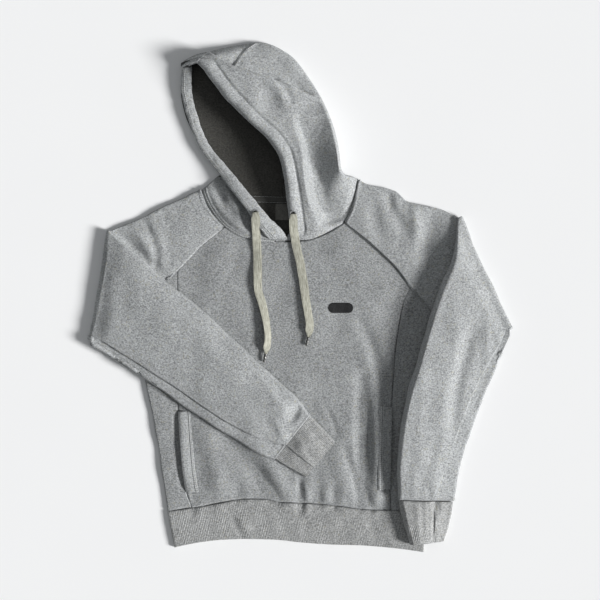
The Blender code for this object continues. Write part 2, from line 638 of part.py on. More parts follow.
def hood_left(neck_line, material):
    """From the mouth edge over the top, round the outer side and under to the centre seam."""
    row = table_rows(HOOD_LEFT_ROW, HOOD_LEFT_SECTIONS, HOOD_ROWS)
    rows = []
    for i in range(len(HOOD_ROWS)):
        get = {name: values[i] for name, values in row.items()}
        mouth = np.array([get["mouth_x"], get["mouth_y"]])
        side = np.array([get["side_x"], get["side_y"]])
        seam = np.array([get["seam_x"], get["seam_y"]])
        length = np.linalg.norm(side - mouth)
        radius = get["rim_z"] / 2
        casing = min(CASING, 0.35 * length)
        ridge, valley, rim = get["ridge_at"] * length, get["valley_at"] * length, length - radius
        knots = [0, 0.4 * casing, casing, ridge, valley, rim]
        heights = [[get[k]] for k in ("mouth_z", "roll_z", "casing_z", "ridge_z", "valley_z", "rim_z")]
        places = [0, 0.15 * casing, 0.4 * casing, 0.75 * casing]
        places += list(np.linspace(casing, ridge, 4)) + list(np.linspace(ridge, valley, 4)[1:])
        places += [(valley + rim) / 2]
        top_z = curve_through(knots, heights, np.array(places))[:, 0]
        profile = list(zip(places, top_z))
        profile += [(length - inboard, z) for inboard, z in turned_edge(get["rim_z"], radius)[:-1]]
        bow = get["bow"] / HOOD_LEFT_SECTIONS[0][12]
        section = []
        for place, z in profile:
            share = place / length
            bent = along(neck_line, np.array([share]))[0] - (
                np.array(neck_line[0]) + (np.array(neck_line[-1]) - np.array(neck_line[0])) * share
            )
            plan = mouth + (side - mouth) * share + bent * bow
            section.append((*plan, z))
        inward = (seam - side) / np.linalg.norm(seam - side)
        start = side + inward * radius
        for part in (0, 0.33, 0.67, 1):
            section.append((*(start + (seam + (SEAM_INSET, 0) - start) * part), 0))
        rows.append(section)
    return cloth("hood_left", pulled_in(rows, NECK_INSET), FLEECE, material)


def hood_right(material):
    """From the neck seam to the mouth edge; it turns over at the shoulder and lies flat beyond."""
    seam_columns = [HOOD_LEFT_ROW.index("seam_x"), HOOD_LEFT_ROW.index("seam_y")]
    seam_table = [[section[i] for i in seam_columns] for section in HOOD_LEFT_SECTIONS]
    seam = curve_through(np.arange(len(seam_table)), seam_table, HOOD_ROWS)
    bulge = seam - (seam[0] + (seam[-1] - seam[0]) * np.linspace(0, 1, len(seam))[:, None])
    on_top = np.arange(0, HOOD_RIGHT_FLAT - 1, 0.5)
    rib_rows = np.concatenate([on_top, np.arange(HOOD_RIGHT_FLAT - 1, len(HOOD_RIGHT_RIBS))])
    ribs = table_rows(HOOD_RIGHT_ROW, HOOD_RIGHT_RIBS, rib_rows)
    columns = []
    for i in range(len(rib_rows)):
        get = {name: values[i] for name, values in ribs.items()}
        neck = np.array([get["neck_x"], get["neck_y"]])
        mouth = np.array([get["mouth_x"], get["mouth_y"]])
        v = np.linspace(0, 1, len(seam))[:, None]
        plan = neck + (mouth - neck) * v + bulge * get["spread"] - (SEAM_INSET * get["spread"], 0)
        knots = [0, 0.3, 0.58, 0.8, 1]
        heights = [[get[k]] for k in ("neck_z", "belly_z", "trough_z", "roll_z", "mouth_z")]
        columns.append(np.column_stack([plan, curve_through(knots, heights, v[:, 0])]))
    rows = pulled_in(np.transpose(np.array(columns), (1, 0, 2)), NECK_INSET)
    return cloth("hood_right", rows, FLEECE, material, flip=True)


# What lies on the panels -----------------------------------------------------------------------


def pocket_welt(name, seam, low, high, inward, material):
    """Welt of a seam pocket, on the front beside the princess seam, its open edge standing up."""
    rows = []
    for y in np.linspace(low, high, 9):
        edge = x_at(seam, y) + inward
        rise = 0.4 + WELT_RISE * math.sin(math.pi * (y - low) / (high - low))
        row = []
        for share in (0, 0.08, 0.5, 0.92, 1):
            x = edge + inward * WELT_WIDTH * share
            lift = rise * (1 - share) ** 1.5
            row.append((x, y, float(front_height(x, y)) + 2 * GAP + WELT_THICK + lift))
        rows.append(row)
    return cloth(name, rows, WELT_THICK, material, flip=inward < 0)


def neck_tape(material):
    rows = []
    for x in np.linspace(42, -104, 13):
        y = y_at(NECK_BACK, x)
        z = FLEECE + GAP + TAPE_THICK
        rows.append([(x, y - 5 + TAPE_WIDTH * share, z) for share in (1, 0)])
    return cloth("neck_tape", rows, TAPE_THICK, material, flip=True)


def neck_label(material):
    shape = bmesh.new()
    bmesh.ops.create_cube(shape, size=1)
    bmesh.ops.scale(shape, verts=shape.verts, vec=[side * MM for side in LABEL_SIZE])
    mesh = bpy.data.meshes.new("neck_label")
    shape.to_mesh(mesh)
    shape.free()
    label = add_object("neck_label", mesh, material)
    label.location = [c * MM for c in (*LABEL_CENTRE, FLEECE + GAP + LABEL_SIZE[2] / 2)]
    return label


def lace_profile():
    """Cross section of the flat lace, a hidden guide for the cords."""
    data = bpy.data.curves.new("lace_profile", "CURVE")
    data.dimensions = "2D"
    spline = data.splines.new("POLY")
    half, thick = LACE_WIDTH / 2, LACE_THICK / 2
    corners = [(half, 0.4), (half - 1.2, 1), (0, 1), (1.2 - half, 1), (-half, 0.4)]
    outline = [(x, -y * thick) for x, y in corners] + [(x, y * thick) for x, y in reversed(corners)]
    spline.points.add(len(outline) - 1)
    for point, (x, y) in zip(spline.points, outline):
        point.co = (x * MM, y * MM, 0, 1)
    spline.use_cyclic_u = True
    profile = bpy.data.objects.new("lace_profile", data)
    bpy.data.collections[GUIDES].objects.link(profile)
    profile.hide_render = True
    return profile


def cord_route(table):
    """The lace's middle line; None in the table's height lays it on the front."""
    points = []
    for x, y, z in table:
        if z is None:
            z = float(front_height(x, y)) + LAYER_GAP + LACE_THICK / 2
        points.append((x, y, z))
    count = round(lengths(points)[-1] / 8)
    return along(points, np.linspace(0, 1, count))


def drawcord(name, table, profile, material):
    data = bpy.data.curves.new(name, "CURVE")
    data.dimensions = "3D"
    data.twist_mode = "Z_UP"
    data.bevel_mode = "OBJECT"
    data.bevel_object = profile
    data.use_fill_caps = True
    spline = data.splines.new("POLY")
    route = cord_route(table)
    spline.points.add(len(route) - 1)
    for point, place in zip(spline.points, route):
        point.co = (*(place * MM), 1)
    return add_object(name, data, material)


def cord_tip(name, table, material):
    """Crimped tip beyond the end of a cord."""
    route = cord_route(table)
    heading = (route[-1] - route[-2]) / np.linalg.norm(route[-1] - route[-2])
    data = bpy.data.curves.new(name, "CURVE")
    data.dimensions = "3D"
    data.bevel_depth = TIP_RADIUS * MM
    data.bevel_resolution = 2
    data.use_fill_caps = True
    spline = data.splines.new("POLY")
    spline.points.add(1)
    lift = np.array([0, 0, TIP_RADIUS - LACE_THICK / 2])
    for point, far in zip(spline.points, (GAP, GAP + TIP_LENGTH)):
        point.co = (*((route[-1] + heading * far + lift) * MM), 1)
    return add_object(name, data, material)


def main():
    clear_scene()
    for name in (COLLECTION, GUIDES):
        collection = bpy.data.collections.new(name)
        bpy.context.scene.collection.children.link(collection)
    fleece = finish("fleece", FLEECE_GREY, 0.95)
    rib = finish("rib", RIB_GREY, 0.95)
    lace = finish("lace", LACE_BEIGE, 0.85)
    tip = finish("cord_tip", TIP_METAL, 0.35, 1.0)
    label = finish("label", LABEL_WHITE, 0.8)

    back_panel(fleece)
    front_panel(fleece)
    side_front("side_front_right", PRINCESS_RIGHT, SIDE_RIGHT, fleece, -1)
    side_front("side_front_left", PRINCESS_LEFT, SIDE_LEFT, fleece, 1)
    hem_band(rib)
    sleeve("sleeve_right", SLEEVE_RIGHT_DOWN, SLEEVE_RIGHT_UP, HEAD_RIGHT, HEAD_BACK_RIGHT, fleece, True)
    sleeve("sleeve_left", SLEEVE_LEFT_DOWN, SLEEVE_LEFT_UP, HEAD_LEFT, HEAD_BACK_LEFT, fleece, False)
    cuff("cuff_right", CUFF_RIGHT, rib, True)
    cuff("cuff_left", CUFF_LEFT, rib, False)
    hood_left(NECK_LINE_LEFT, fleece)
    hood_right(fleece)
    for side, (seam, low, high, inward) in WELTS.items():
        pocket_welt(f"pocket_welt_{side}", seam, low, high, inward, fleece)
    neck_tape(fleece)
    neck_label(label)
    profile = lace_profile()
    for side, table in (("right", CORD_RIGHT), ("left", CORD_LEFT)):
        drawcord(f"drawcord_{side}", table, profile, lace)
        cord_tip(f"cord_tip_{side}", table, tip)


main()
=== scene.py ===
"""Dressed scene of a pullover hoodie that lies on its back with its sleeves folded over the front.

Lengths are in millimetres until a mesh is made. +X is the wearer's left, +Y runs from hem to hood.
"""

import math

import bmesh
import bpy
import numpy as np
from mathutils import Matrix, Vector
from mathutils.bvhtree import BVHTree


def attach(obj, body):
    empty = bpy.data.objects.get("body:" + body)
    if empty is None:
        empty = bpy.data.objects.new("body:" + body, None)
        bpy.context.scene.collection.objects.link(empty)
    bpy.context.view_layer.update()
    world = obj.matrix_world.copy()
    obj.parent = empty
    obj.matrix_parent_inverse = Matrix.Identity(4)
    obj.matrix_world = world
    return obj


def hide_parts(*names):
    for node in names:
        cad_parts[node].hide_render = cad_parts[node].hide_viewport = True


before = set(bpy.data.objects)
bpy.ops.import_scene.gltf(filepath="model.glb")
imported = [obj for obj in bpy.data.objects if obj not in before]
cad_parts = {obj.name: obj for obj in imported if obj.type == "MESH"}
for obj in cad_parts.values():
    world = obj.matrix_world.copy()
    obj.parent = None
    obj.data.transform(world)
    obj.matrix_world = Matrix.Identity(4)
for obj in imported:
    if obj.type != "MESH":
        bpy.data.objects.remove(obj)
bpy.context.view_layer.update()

MM = 0.001

# Cloth and how its layers lie
FLEECE = 2.4
RIB = 2.8
RIB_PITCH = 3.1
FRONT_LIE = 5.4  # outer face of the front where it is sewn
RIB_LIE = 6.2
LAYER_GAP = 0.6
SEAM_RISE = 0.9  # the cloth beside a seam stands this much over it
BODY_PUFF = 3.6  # the front stands up this much between its seams
HEM_PUFF = 0.8
SLEEVE_LOFT = 6.4
SLEEVE_EDGE = {"right": 10.0, "left": 9.0}  # thickness of a folded sleeve at its soft edges
FOLD_INNER = 1.0  # half the gap between a folded sleeve's two runs
FOLD_ROWS = 14
SEAM_STEP = {"right": 2.4, "left": 5.5}  # the underarm side of a folded sleeve lies this much lower
CUFF_STEP = 1.8
# Where a sleeve or cuff is highest, across it from its over edge, and how its fall beyond is curved
SLEEVE_CROWN = {"right": (0.34, 1.6), "left": (0.055, 1.25)}
CUFF_CROWN = {"right": (0.45, 2.0), "left": (0.10, 1.3)}
CASING = 25.0  # width of the stitched casing along the hood's mouth
CASING_TURN = 2.7  # radius of the turned mouth edge

# Seam lines, (x, y) from the hem upwards
PRINCESS_RIGHT = [
    (-190, -368), (-201, -335), (-206, -300), (-210, -250), (-213, -205), (-217, -150),
    (-219, -75), (-215, 5), (-216, 46),
]
PRINCESS_LEFT = [
    (160, -374), (158, -324), (159, -268), (161, -192), (166, -110), (173, -54), (182, -8),
    (194, 16),
]
SIDE_RIGHT = [
    (-232, -375), (-238, -338), (-248, -268), (-259, -206), (-270, -154), (-284, -84), (-292, -30),
]
SIDE_LEFT = [(220, -374), (222, -338), (226, -268), (236, -154), (243, -84), (247, -40)]
RAGLAN_RIGHT = [(-216, 46), (-198, 65), (-181, 83), (-155, 106), (-131, 123.5)]
RAGLAN_LEFT = [(194, 16), (179, 38), (163, 58), (138, 82), (110, 107), (77, 131)]
RAGLAN_BACK_RIGHT = [(-287.7, -30), (-138, 176)]
RAGLAN_BACK_LEFT = [(242.7, -40), (60, 189)]
NECK_FRONT = [
    (-131, 123.5), (-108, 109), (-84, 102), (-52, 99), (-21, 97), (8, 99), (36, 107), (58, 118),
    (77, 131),
]
NECK_BACK = [(-138, 176), (-90, 171), (-30, 169), (20, 177), (60, 189)]
NECK_LEFT = [(-27, 98), (8, 99), (36, 107), (58, 118), (77, 131), (92, 161), (102, 205.5)]
HEM_SEAM = [
    (-232, -375), (-187, -369), (-135, -360), (-100, -354), (-65, -354), (-30, -360), (38, -363),
    (105, -371), (160, -374), (220, -374),
]
HEM_EDGE = [
    (-220, -439), (-198, -434), (-170, -429), (-130, -425), (-96, -424), (-47, -425), (2, -430),
    (63, -434), (105, -435), (145, -438), (182, -442), (217, -447),
]
HEAD_CORNER = 0.25  # share of a sleeve's head that is neck, before the raglan seam
# Each sleeve's head: its neck and raglan lines on the front, then those on the back
HEADS = {
    "right": (
        ([(-173, 187), (-161, 158), (-131, 123.5)], [*reversed(RAGLAN_RIGHT), (-292, -30)]),
        ([(-173, 187), (-138, 176)], [(-138, 176), (-292, -30)]),
    ),
    "left": (
        ([(102, 205.5), (92, 161), (77, 131)], [*reversed(RAGLAN_LEFT), (247, -40)]),
        ([(102, 205.5), (60, 189)], [(60, 189), (247, -40)]),
    ),
}

SLEEVE_ROW = ("over_x", "over_y", "knee_x", "knee_y", "under_x", "under_y", "puff")
SLEEVE_RIGHT_DOWN = [
    (-173, 187, -131, 123.5, -292, -30, 0.0),
    (-176, 186, -136, 121, -294, -32, 0.6),
    (-227, 164.5, -203, 112, -312, -42, 1.4),
    (-280, 139, -276, 92, -336, -57, 1.2),
    (-332, 117, -338, 68, -363, -74, 0.6),
]
SLEEVE_LEFT_DOWN = [
    (102, 205.5, 77, 131, 247, -40, 0.0),
    (106, 204, 81, 129, 250, -41, 0.6),
    (122.5, 196.5, 97, 125.5, 258, -42, 0.9),
    (150.5, 191, 133, 119, 278, -45, 1.2),
    (170, 184, 160, 113, 291, -47, 1.4),
    (188, 169, 186, 107.5, 303, -49, 1.4),
    (215, 160.5, 222, 101, 322, -52, 1.2),
    (245, 154.5, 257, 95, 342, -55, 1.0),
    (278, 140, 298, 86, 366, -58, 0.6),
]
UPPER_ROW = ("over_x", "over_y", "under_x", "under_y", "bed", "edge", "carried", "puff", "seam_at")
SLEEVE_RIGHT_UP = [
    (-332, 114, -364, -80, 8.4, 8.4, 0.95, 0.6, 0.95),
    (-297, 84, -331, -105, 8.8, 5.0, 0.80, 5.0, 0.92),
    (-238, 30, -271, -143, 9.0, 7.0, 0.80, 9.0, 0.91),
    (-180, -15, -210, -187, 9.0, 8.6, 0.80, 11.0, 0.885),
    (-125, -66, -150, -226, 9.0, 8.8, 0.80, 12.0, 0.885),
    (-75, -113, -97, -260, 9.0, 8.8, 0.80, 12.0, 0.85),
    (-30, -153, -66, -276, 9.0, 8.8, 0.80, 10.5, 0.80),
    (0, -183, -53, -282, 9.0, 8.8, 0.80, 8.0, 0.75),
    (18.5, -207, -45, -284, 9.0, 8.8, 0.80, 3.0, 0.68),
]
SLEEVE_LEFT_UP = [
    (276, 138, 364, -62, 8.4, 8.4, 0.95, 0.6, 0.97),
    (268, 76, 353, -95, 8.8, 5.0, 0.78, 9.0, 0.94),
    (245, 19, 338, -137, 9.0, 1.0, 0.45, 14.0, 0.89),
    (225, -41, 322, -176, 9.0, 0.0, 0.20, 16.5, 0.86),
    (204, -114, 303, -228, 8.8, 0.0, 0.30, 17.0, 0.84),
    (185, -178, 287, -275, 8.8, 0.0, 0.42, 17.0, 0.82),
    (174, -240, 278, -308, 8.8, 0.0, 0.46, 16.0, 0.80),
    (169, -300, 274, -333, 8.8, 0.0, 0.48, 12.0, 0.73),
    (171, -354, 270, -358, 8.6, 0.0, 0.48, 4.0, 0.60),
]
CUFF_RIGHT = [
    (16.5, -206.2, -45.5, -282.2, 9.0, 8.8, 0.80, 3.0, 0.68),
    (38, -228, -20, -298, 9.0, 8.8, 0.80, 7.5, 0.70),
    (61, -253, 10, -315, 9.0, 8.8, 0.80, 5.5, 0.72),
]
CUFF_LEFT = [
    (171.5, -355, 268.5, -359, 8.4, 0.0, 0.46, 6.5, 0.66),
    (181, -395, 263, -392, 8.0, 0.0, 0.42, 10.0, 0.69),
    (193, -433, 252, -428, 8.0, 0.0, 0.38, 8.0, 0.70),
]

HOOD_LEFT_ROW = (
    "mouth_x", "mouth_y", "mouth_z", "roll_z", "casing_z", "ridge_at", "ridge_z", "valley_at",
    "valley_z", "rim_z", "side_x", "side_y", "bow", "seam_x", "seam_y",
)
HOOD_LEFT_SECTIONS = [
    (-27, 98, 5.4, 5.4, 5.4, 0.45, 5.4, 0.75, 5.4, 5.4, 102, 205.5, 31, -30, 170),
    (-19, 117, 11, 16, 13, 0.32, 17, 0.47, 4, 24, 92, 211, 24, -29, 182),
    (-21, 140, 20, 27, 24, 0.32, 28, 0.46, 5, 36, 79, 214, 13, -27, 200),
    (-25, 172, 30, 38, 35.5, 0.33, 39, 0.48, 9, 43, 72, 224, 5, -25, 225),
    (-30, 208, 36, 45, 43, 0.35, 45, 0.50, 18, 46, 69, 250, 0, -25, 255),
    (-38, 242, 40, 49, 47, 0.38, 47, 0.50, 26, 47, 62, 285, 0, -27, 290),
    (-56, 271, 42, 50, 48, 0.42, 47, 0.55, 35, 43, 50, 320, 0, -32, 325),
    (-84, 297, 42, 50, 47.5, 0.45, 47, 0.72, 40, 28, 36, 350, 0, -40, 360),
    (-110, 322, 41, 49, 46, 0.58, 44, 0.80, 33, 21, 15, 384, 0, -52, 395),
    (-135, 348, 39, 47, 44, 0.44, 44, 0.62, 36, 15, -18, 424, 0, -62, 418),
    (-155, 374, 37, 44, 42, 0.38, 42, 0.58, 34, 9, -68, 446, 0, -78, 432),
    (-170, 396, 33, 41, 39, 0.42, 38, 0.66, 30, 8, -112, 441, 0, -114, 430),
    (-183, 407, 28, 36, 34.5, 0.45, 33, 0.66, 27, 9, -152, 432, 0, -152, 421),
    (-196, 405, 21, 26, 25, 0.45, 24, 0.66, 19, 9, -182, 425, 0, -181, 417),
    (-206, 402, 13, 16, 15, 0.45, 14, 0.66, 11, 8, -204, 414, 0, -203, 406),
]
HOOD_SECTIONS = 190
HOOD_RIGHT_ROW = (
    "neck_x", "neck_y", "neck_z", "mouth_x", "mouth_y", "mouth_z", "belly_z", "trough_z",
    "roll_z", "spread",
)
HOOD_RIGHT_RIBS = [
    (-50, 99, 6.4, -28, 99, 9, 8, 8, 9, 0),
    (-84, 102.5, 5.4, -42, 108, 12, 11, 9.5, 11, 0),
    (-108, 109, 5.4, -58, 125, 15, 15, 12.5, 12, 0),
    (-135, 126, 5.4, -77, 151, 16, 18, 14, 12, 0),
    (-152, 146, 5.4, -95, 172, 15, 17, 13, 11, 0),
    (-163, 163, 5.4, -113, 193, 12, 13, 10, 9, 0),
    (-170, 181, 5.4, -134, 209, 7, 8, 7, 7, 0),
    (-171.2, 188.8, 2.7, -144, 212, 3.5, 3, 3.5, 3.5, 0),
    (-168.4, 188.0, 0, -140.8, 213.5, 0, 0, 0, 0, 0),
    (-140, 177.6, 0, -140, 214.1, 0, 0, 0, 0, 0),
    (-112, 172.9, 0, -139.9, 215.3, 0, 0, 0, 0, 0),
    (-98, 171.8, 0, -140.7, 217.5, 0, 0, 0, 0, 0),
    (-86, 171.2, 0, -143.5, 222, 0, 0, 0, 0, 0.02),
    (-76, 170.7, 0, -151, 231, 0, 0, 0, 0, 0.06),
    (-66, 170.4, 0, -166, 251, 0, 0, 0, 0, 0.13),
    (-57, 170.2, 0, -188, 288, 0, 0, 0, 0, 0.26),
    (-48, 170, 0, -203, 325, 0, 0, 0, 0, 0.46),
    (-40, 170, 0, -209, 362, 0, 0, 0, 0, 0.7),
    (-30, 170, 0, -207, 398, 0, 0, 0, 0, 1.0),
]
# Casing of the right half, rolled on itself: middle line, height of its top, width and depth
CASING_ROLL = [
    (-197, 404, 17, 16, 10), (-199, 386, 18, 18, 11), (-199.5, 367.5, 16, 19, 11),
    (-196, 344.8, 15, 18.5, 10.5), (-189, 318.5, 14.5, 17.5, 10.5), (-180, 292, 14.5, 17, 10.5),
    (-168.5, 267, 15, 17, 10.5), (-154.5, 245, 16.5, 17.5, 11), (-139.5, 227, 18.5, 18.5, 11.5),
    (-129, 214, 20.5, 19.5, 12), (-114, 195, 24, 20.5, 13), (-100, 177.5, 27, 21.5, 13.5),
    (-88, 163, 28.5, 23, 13.5), (-75, 146, 28, 24, 13), (-62, 129, 24.5, 25, 12),
    (-48, 114.5, 19, 27, 10), (-39, 106, 14.5, 25, 8), (-28, 96, 9.6, 18, 4.5),
]
CASING_ROWS = (4.6, 7.2)  # stitch rows along the rolled casing, from its outer edge
HOOD_RIGHT_UPPER = 6.5  # up to this rib the cloth's outer face is up; beyond, it lies turned over

WELT_WIDTH = 22.0
WELT_ROWS = (14.5, 18)  # stitch rows, from the welt's open edge
WELT_RISE = 5.0  # the open edge stands up this much in its middle
# Seam, the pocket's lower and upper end, and the sign of x towards the middle
WELTS = {"right": (PRINCESS_RIGHT, -342, -200, 1), "left": (PRINCESS_LEFT, -338, -192, -1)}

# Soft folds: from (x, y) to (x, y), sideways bow, half width, height (a trough is negative)
BODY_FOLDS = [
    (42, -187, 66, -245, 2, 4.5, -3.0),
    (79, -262, 124, -370, -6, 8, -6.5),
    (60, -280, 100, -366, -5, 10, 2.4),
    (105, -42, 149, -175, 8, 10, -5.5),
    (86, -56, 128, -180, 8, 12, 2.0),
    (108, -142, 106, -364, 3, 13, -9.5),
    (134, -185, 136, -360, 0, 10, 7.5),
    (-133, -250, -45, -352, 4, 15, -7.6),
    (-168, -240, -138, -364, 4, 16, 4.0),
    (-69, -276, -20, -354, 3, 13, 6.2),
    (-96, -200, -60, -262, 0, 18, 1.6),
    (0, -318, 0, -374, 0, 6.5, -5.4),
    (12, -324, 14, -370, 0, 6, 2.6),
    (30, -300, 32, -366, 0, 9, -1.8),
    (59, -334, 60, -368, 0, 5, -3.4),
    (44, -330, 45, -368, 0, 6, 2.2),
    (75, -330, 76, -368, 0, 6, 2.2),
    (-187, -346, -187, -376, 0, 8, -3.4),
    (-108, -330, -112, -362, 0, 7, -1.8),
    (-90, -332, -92, -360, 0, 6, 1.6),
    (-150, 30, -90, -90, 10, 26, 1.8),
    (20, -20, 60, -150, -10, 24, 1.4),
    (-60, 70, -20, -60, 0, 20, -1.0),
    (-110, 84, -120, 30, 0, 12, -1.2),
    (40, 90, 70, 20, 0, 16, -1.2),
    (120, 70, 150, 10, 0, 12, 1.2),
]
HEM_FOLDS = [
    (-119, -388, -100, -424, 0, 6, -1.8),
    (-100, -386, -84, -424, 0, 8, 1.0),
    (-40, -380, -20, -425, 0, 9, -1.0),
    (120, -385, 135, -438, 0, 9, -1.2),
    (150, -380, 160, -436, 0, 8, 1.0),
]
SLEEVE_FOLDS = {
    "right_down": [
        (-275, 139, -250, 50, 6, 6, -3.2),
        (-264, 136, -238, 60, 6, 7, 2.0),
        (-317, 118, -266, 68, 0, 8, -3.6),
        (-297, 126, -260, 72, 3, 7, 3.0),
        (-243, 152, -222, 120, 0, 6, -1.8),
        (-205, 160, -190, 110, 0, 9, 1.0),
        (-326, 117, -221, 21, 0, 7, -7.0),
    ],
    "right_up": [
        (-330, 60, -262, -40, 0, 20, -1.6),
        (-316, 14, -288, -56, 0, 20, -3.4),
        (-2, -192, -18, -216, 0, 12, -9.0),
        (-290, 40, -170, -70, 6, 16, 1.8),
        (-240, -10, -120, -110, -4, 22, -1.2),
        (-90, -110, -20, -190, 5, 9, -2.6),
        (-70, -130, -30, -190, 0, 10, 2.2),
        (6, -190, -4, -216, 0, 5, 1.5),
        (-45, -215, -20, -262, 0, 7, 2.6),
        (-75, -235, -40, -262, 0, 6, -2.0),
    ],
    "left_down": [
        (153, 190, 184, 116, -6, 10, -6.5),
        (122, 165, 140, 98, 0, 11, -4.0),
        (168, 174, 160, 84, 0, 8, 1.4),
        (198, 170, 206, 100, 0, 9, 4.5),
        (236, 158, 214, 20, 0, 20, -6.0),
        (130, 190, 118, 150, 0, 9, 1.5),
    ],
    "left_up": [
        (290, 60, 330, -90, 0, 20, -1.8),
        (262, 20, 280, -150, 0, 15, 2.0),
        (300, -60, 266, -220, -6, 12, -7.0),
        (326, -50, 330, -130, 0, 9, 3.4),
        (215, -120, 205, -280, 0, 12, 2.0),
        (262, -130, 236, -300, 4, 14, 2.0),
        (240, -240, 214, -330, 0, 10, -2.4),
        (196, -300, 200, -352, 0, 8, 1.6),
        (222, -326, 226, -354, 0, 6, -2.6),
    ],
}
CUFF_FOLDS = {
    "right": [
        (-10, -240, 20, -300, 0, 7, 1.6),
        (14, -222, 46, -270, 0, 8, -1.8),
        (30, -214, 58, -246, 0, 6, 1.4),
    ],
    "left": [
        (236, -352, 240, -372, 0, 7, -4.0),
        (206, -362, 214, -436, 0, 9, 2.0),
        (226, -366, 228, -432, 0, 7, -2.6),
        (212, -366, 216, -430, 0, 6, -2.6),
        (250, -366, 246, -430, 0, 8, 1.6),
        (234.5, -356, 233, -430, 0, 3.2, -4.5),
    ],
}
HOOD_FOLDS = [
    (-2, 272, 36, 146, 4, 9, 3.5),
    (26, 250, 44, 170, 4, 9, -1.5),
    (-16, 258, 6, 150, 2, 8, -1.6),
    (-44, 382, -15, 341, 4, 5.5, -5.0),
    (-56, 374, -28, 336, 4, 8, 2.6),
    (-70, 352, -30, 312, 0, 17, -6.0),
    (-96, 384, -60, 330, 0, 14, 1.6),
    (-8, 338, 30, 300, 0, 18, 2.4),
    (-30, 322, 8, 282, 0, 12, -1.8),
    (-60, 436, -10, 410, 6, 14, 2.4),
    (-30, 398, 8, 376, 0, 10, -2.2),
    (-100, 430, -120, 414, 0, 11, -3.4),
]
CROWN_CREASE = [(-156, 426), (-113, 401), (-89, 392), (-57, 382), (-18, 370), (3, 359), (36, 346)]
CENTRE_SEAM_CASING = [(-181, 406), (-172, 415), (-159, 426)]
CENTRE_SEAM_TOP = [(-116, 404), (-108, 416), (-100, 427), (-87.5, 436), (-75, 445)]
COLLAR_FOLDS = [
    (-152, 196, -133, 161, 3, 8, -7.5),
    (-132, 193, -106, 134, 4, 8, 4.0),
    (-98, 150, -66, 112, -4, 9, -1.6),
    (-120, 196, -86, 140, 2, 7, -2.6),
]

# Middle line of each lace; where no height is given it lies on the front
CORD_RIGHT = [
    (-77.5, 148, 29.6), (-77, 143, 29.8), (-77, 137, 29.0), (-77, 130, 27.0), (-76.9, 124, 24.6),
    (-76.7, 118, 19.5), (-76.4, 112, 14.8), (-76, 105, 12.0), (-75.6, 97, 10.3), (-75, 84, None),
    (-74.5, 70, None), (-74, 50, None), (-74, 30, None), (-73, 12, None), (-67, -8, None),
    (-62, -28, None), (-58, -50, None), (-56, -70, None), (-58, -88, None), (-60, -99, None),
]
CORD_LEFT = [
    (-11.5, 144.5, 30.4), (-11.4, 137, 28.3), (-11.5, 131, 25.6), (-11.5, 125, 22.6),
    (-11.3, 119.5, 19.4), (-10.7, 114, 16.4), (-9.6, 108, 13.2), (-8.5, 102, 10.9), (-7.7, 96, 9.4),
    (-6, 87, None), (-4, 78, None), (0, 62, None), (3, 44, None), (7, 20, None), (10, -4, None),
    (14, -28, None), (17, -48, None), (16, -62, None), (14.5, -70, None),
]
LACE_WIDTH = 15.0
LACE_THICK = 2.0
LACE_RIBS = 6  # woven along it
# How far a lace is turned on its edge, in degrees, along its length
LACE_TURN = {
    "right": [(0, 2), (0.2, 4), (0.4, 8), (0.6, 20), (0.8, 44), (0.92, 44), (1, 20)],
    "left": [(0, 2), (0.25, 4), (0.45, 10), (0.7, 18), (0.9, 18), (1, 10)],
}

# Cut of the cloth that shows of each piece: width and length, area where it is no rectangle, how it
# is held and what it lies on
CUTS = {
    "back": (531, 576, 238500, "laid", ()),
    "front": (416, 505, 178500, "laid", ("back",)),
    "side_front_right": (118, 385, 23700, "laid", ("back",)),
    "side_front_left": (96, 365, 29000, "laid", ("back",)),
    "hem_band": (925, 67, None, "laid", ()),
    "sleeve_right": (605, 584, 193000, "folded", ("front", "side_front_right")),
    "sleeve_left": (674, 584, 198000, "folded", ("front", "side_front_left")),
    "cuff_right": (203, 65, None, "laid", ("front",)),
    "cuff_left": (188, 76, None, "laid", ("side_front_left", "hem_band")),
    "hood_left": (487, 232, 94500, "draped", ("hood_right", "sleeve_left")),
    "hood_right": (423, 260, 45000, "folded", ("back", "sleeve_right")),
    "hood_casing_right": (27, 370, None, "folded", ("hood_right",)),
    "pocket_welt_right": (33, 143, None, "folded", ("front",)),
    "pocket_welt_left": (33, 146, None, "folded", ("front",)),
    "neck_tape": (12, 156, None, "laid", ("back",)),
    "neck_label": (38, 29, None, "laid", ("back",)),
}


# Curves and grids -------------------------------------------------------------------------------


def smooth(t):
    """0 below 0, 1 above 1, with a soft start and end between."""
    t = np.clip(t, 0, 1)
    return t * t * (3 - 2 * t)


def curve_through(knots, values, at):
    """Smooth curve through the rows of values that never overshoots them."""
    knots, values, at = (np.asarray(a, float) for a in (knots, values, at))
    step = np.diff(knots)[:, None]
    rise = np.diff(values, axis=0) / step
    before, after = rise[:-1], rise[1:]
    same_way = before * after > 0
    slope = np.zeros_like(values)
    slope[0], slope[-1] = rise[0], rise[-1]
    slope[1:-1] = np.where(same_way, 2 * before * after / np.where(same_way, before + after, 1), 0)
    i = np.clip(np.searchsorted(knots, at, side="right") - 1, 0, len(step) - 1)
    t = (at[:, None] - knots[i, None]) / step[i]
    return (
        (2 * t**3 - 3 * t**2 + 1) * values[i]
        + (t**3 - 2 * t**2 + t) * step[i] * slope[i]
        + (3 * t**2 - 2 * t**3) * values[i + 1]
        + (t**3 - t**2) * step[i] * slope[i + 1]
    )


def lengths(points):
    steps = np.linalg.norm(np.diff(np.asarray(points, float), axis=0), axis=1)
    return np.concatenate([[0], np.cumsum(steps)])


def along(points, at):
    """Points at fractions of the length of the smooth curve through the given points."""
    far = lengths(points)
    return curve_through(far / far[-1], points, at)


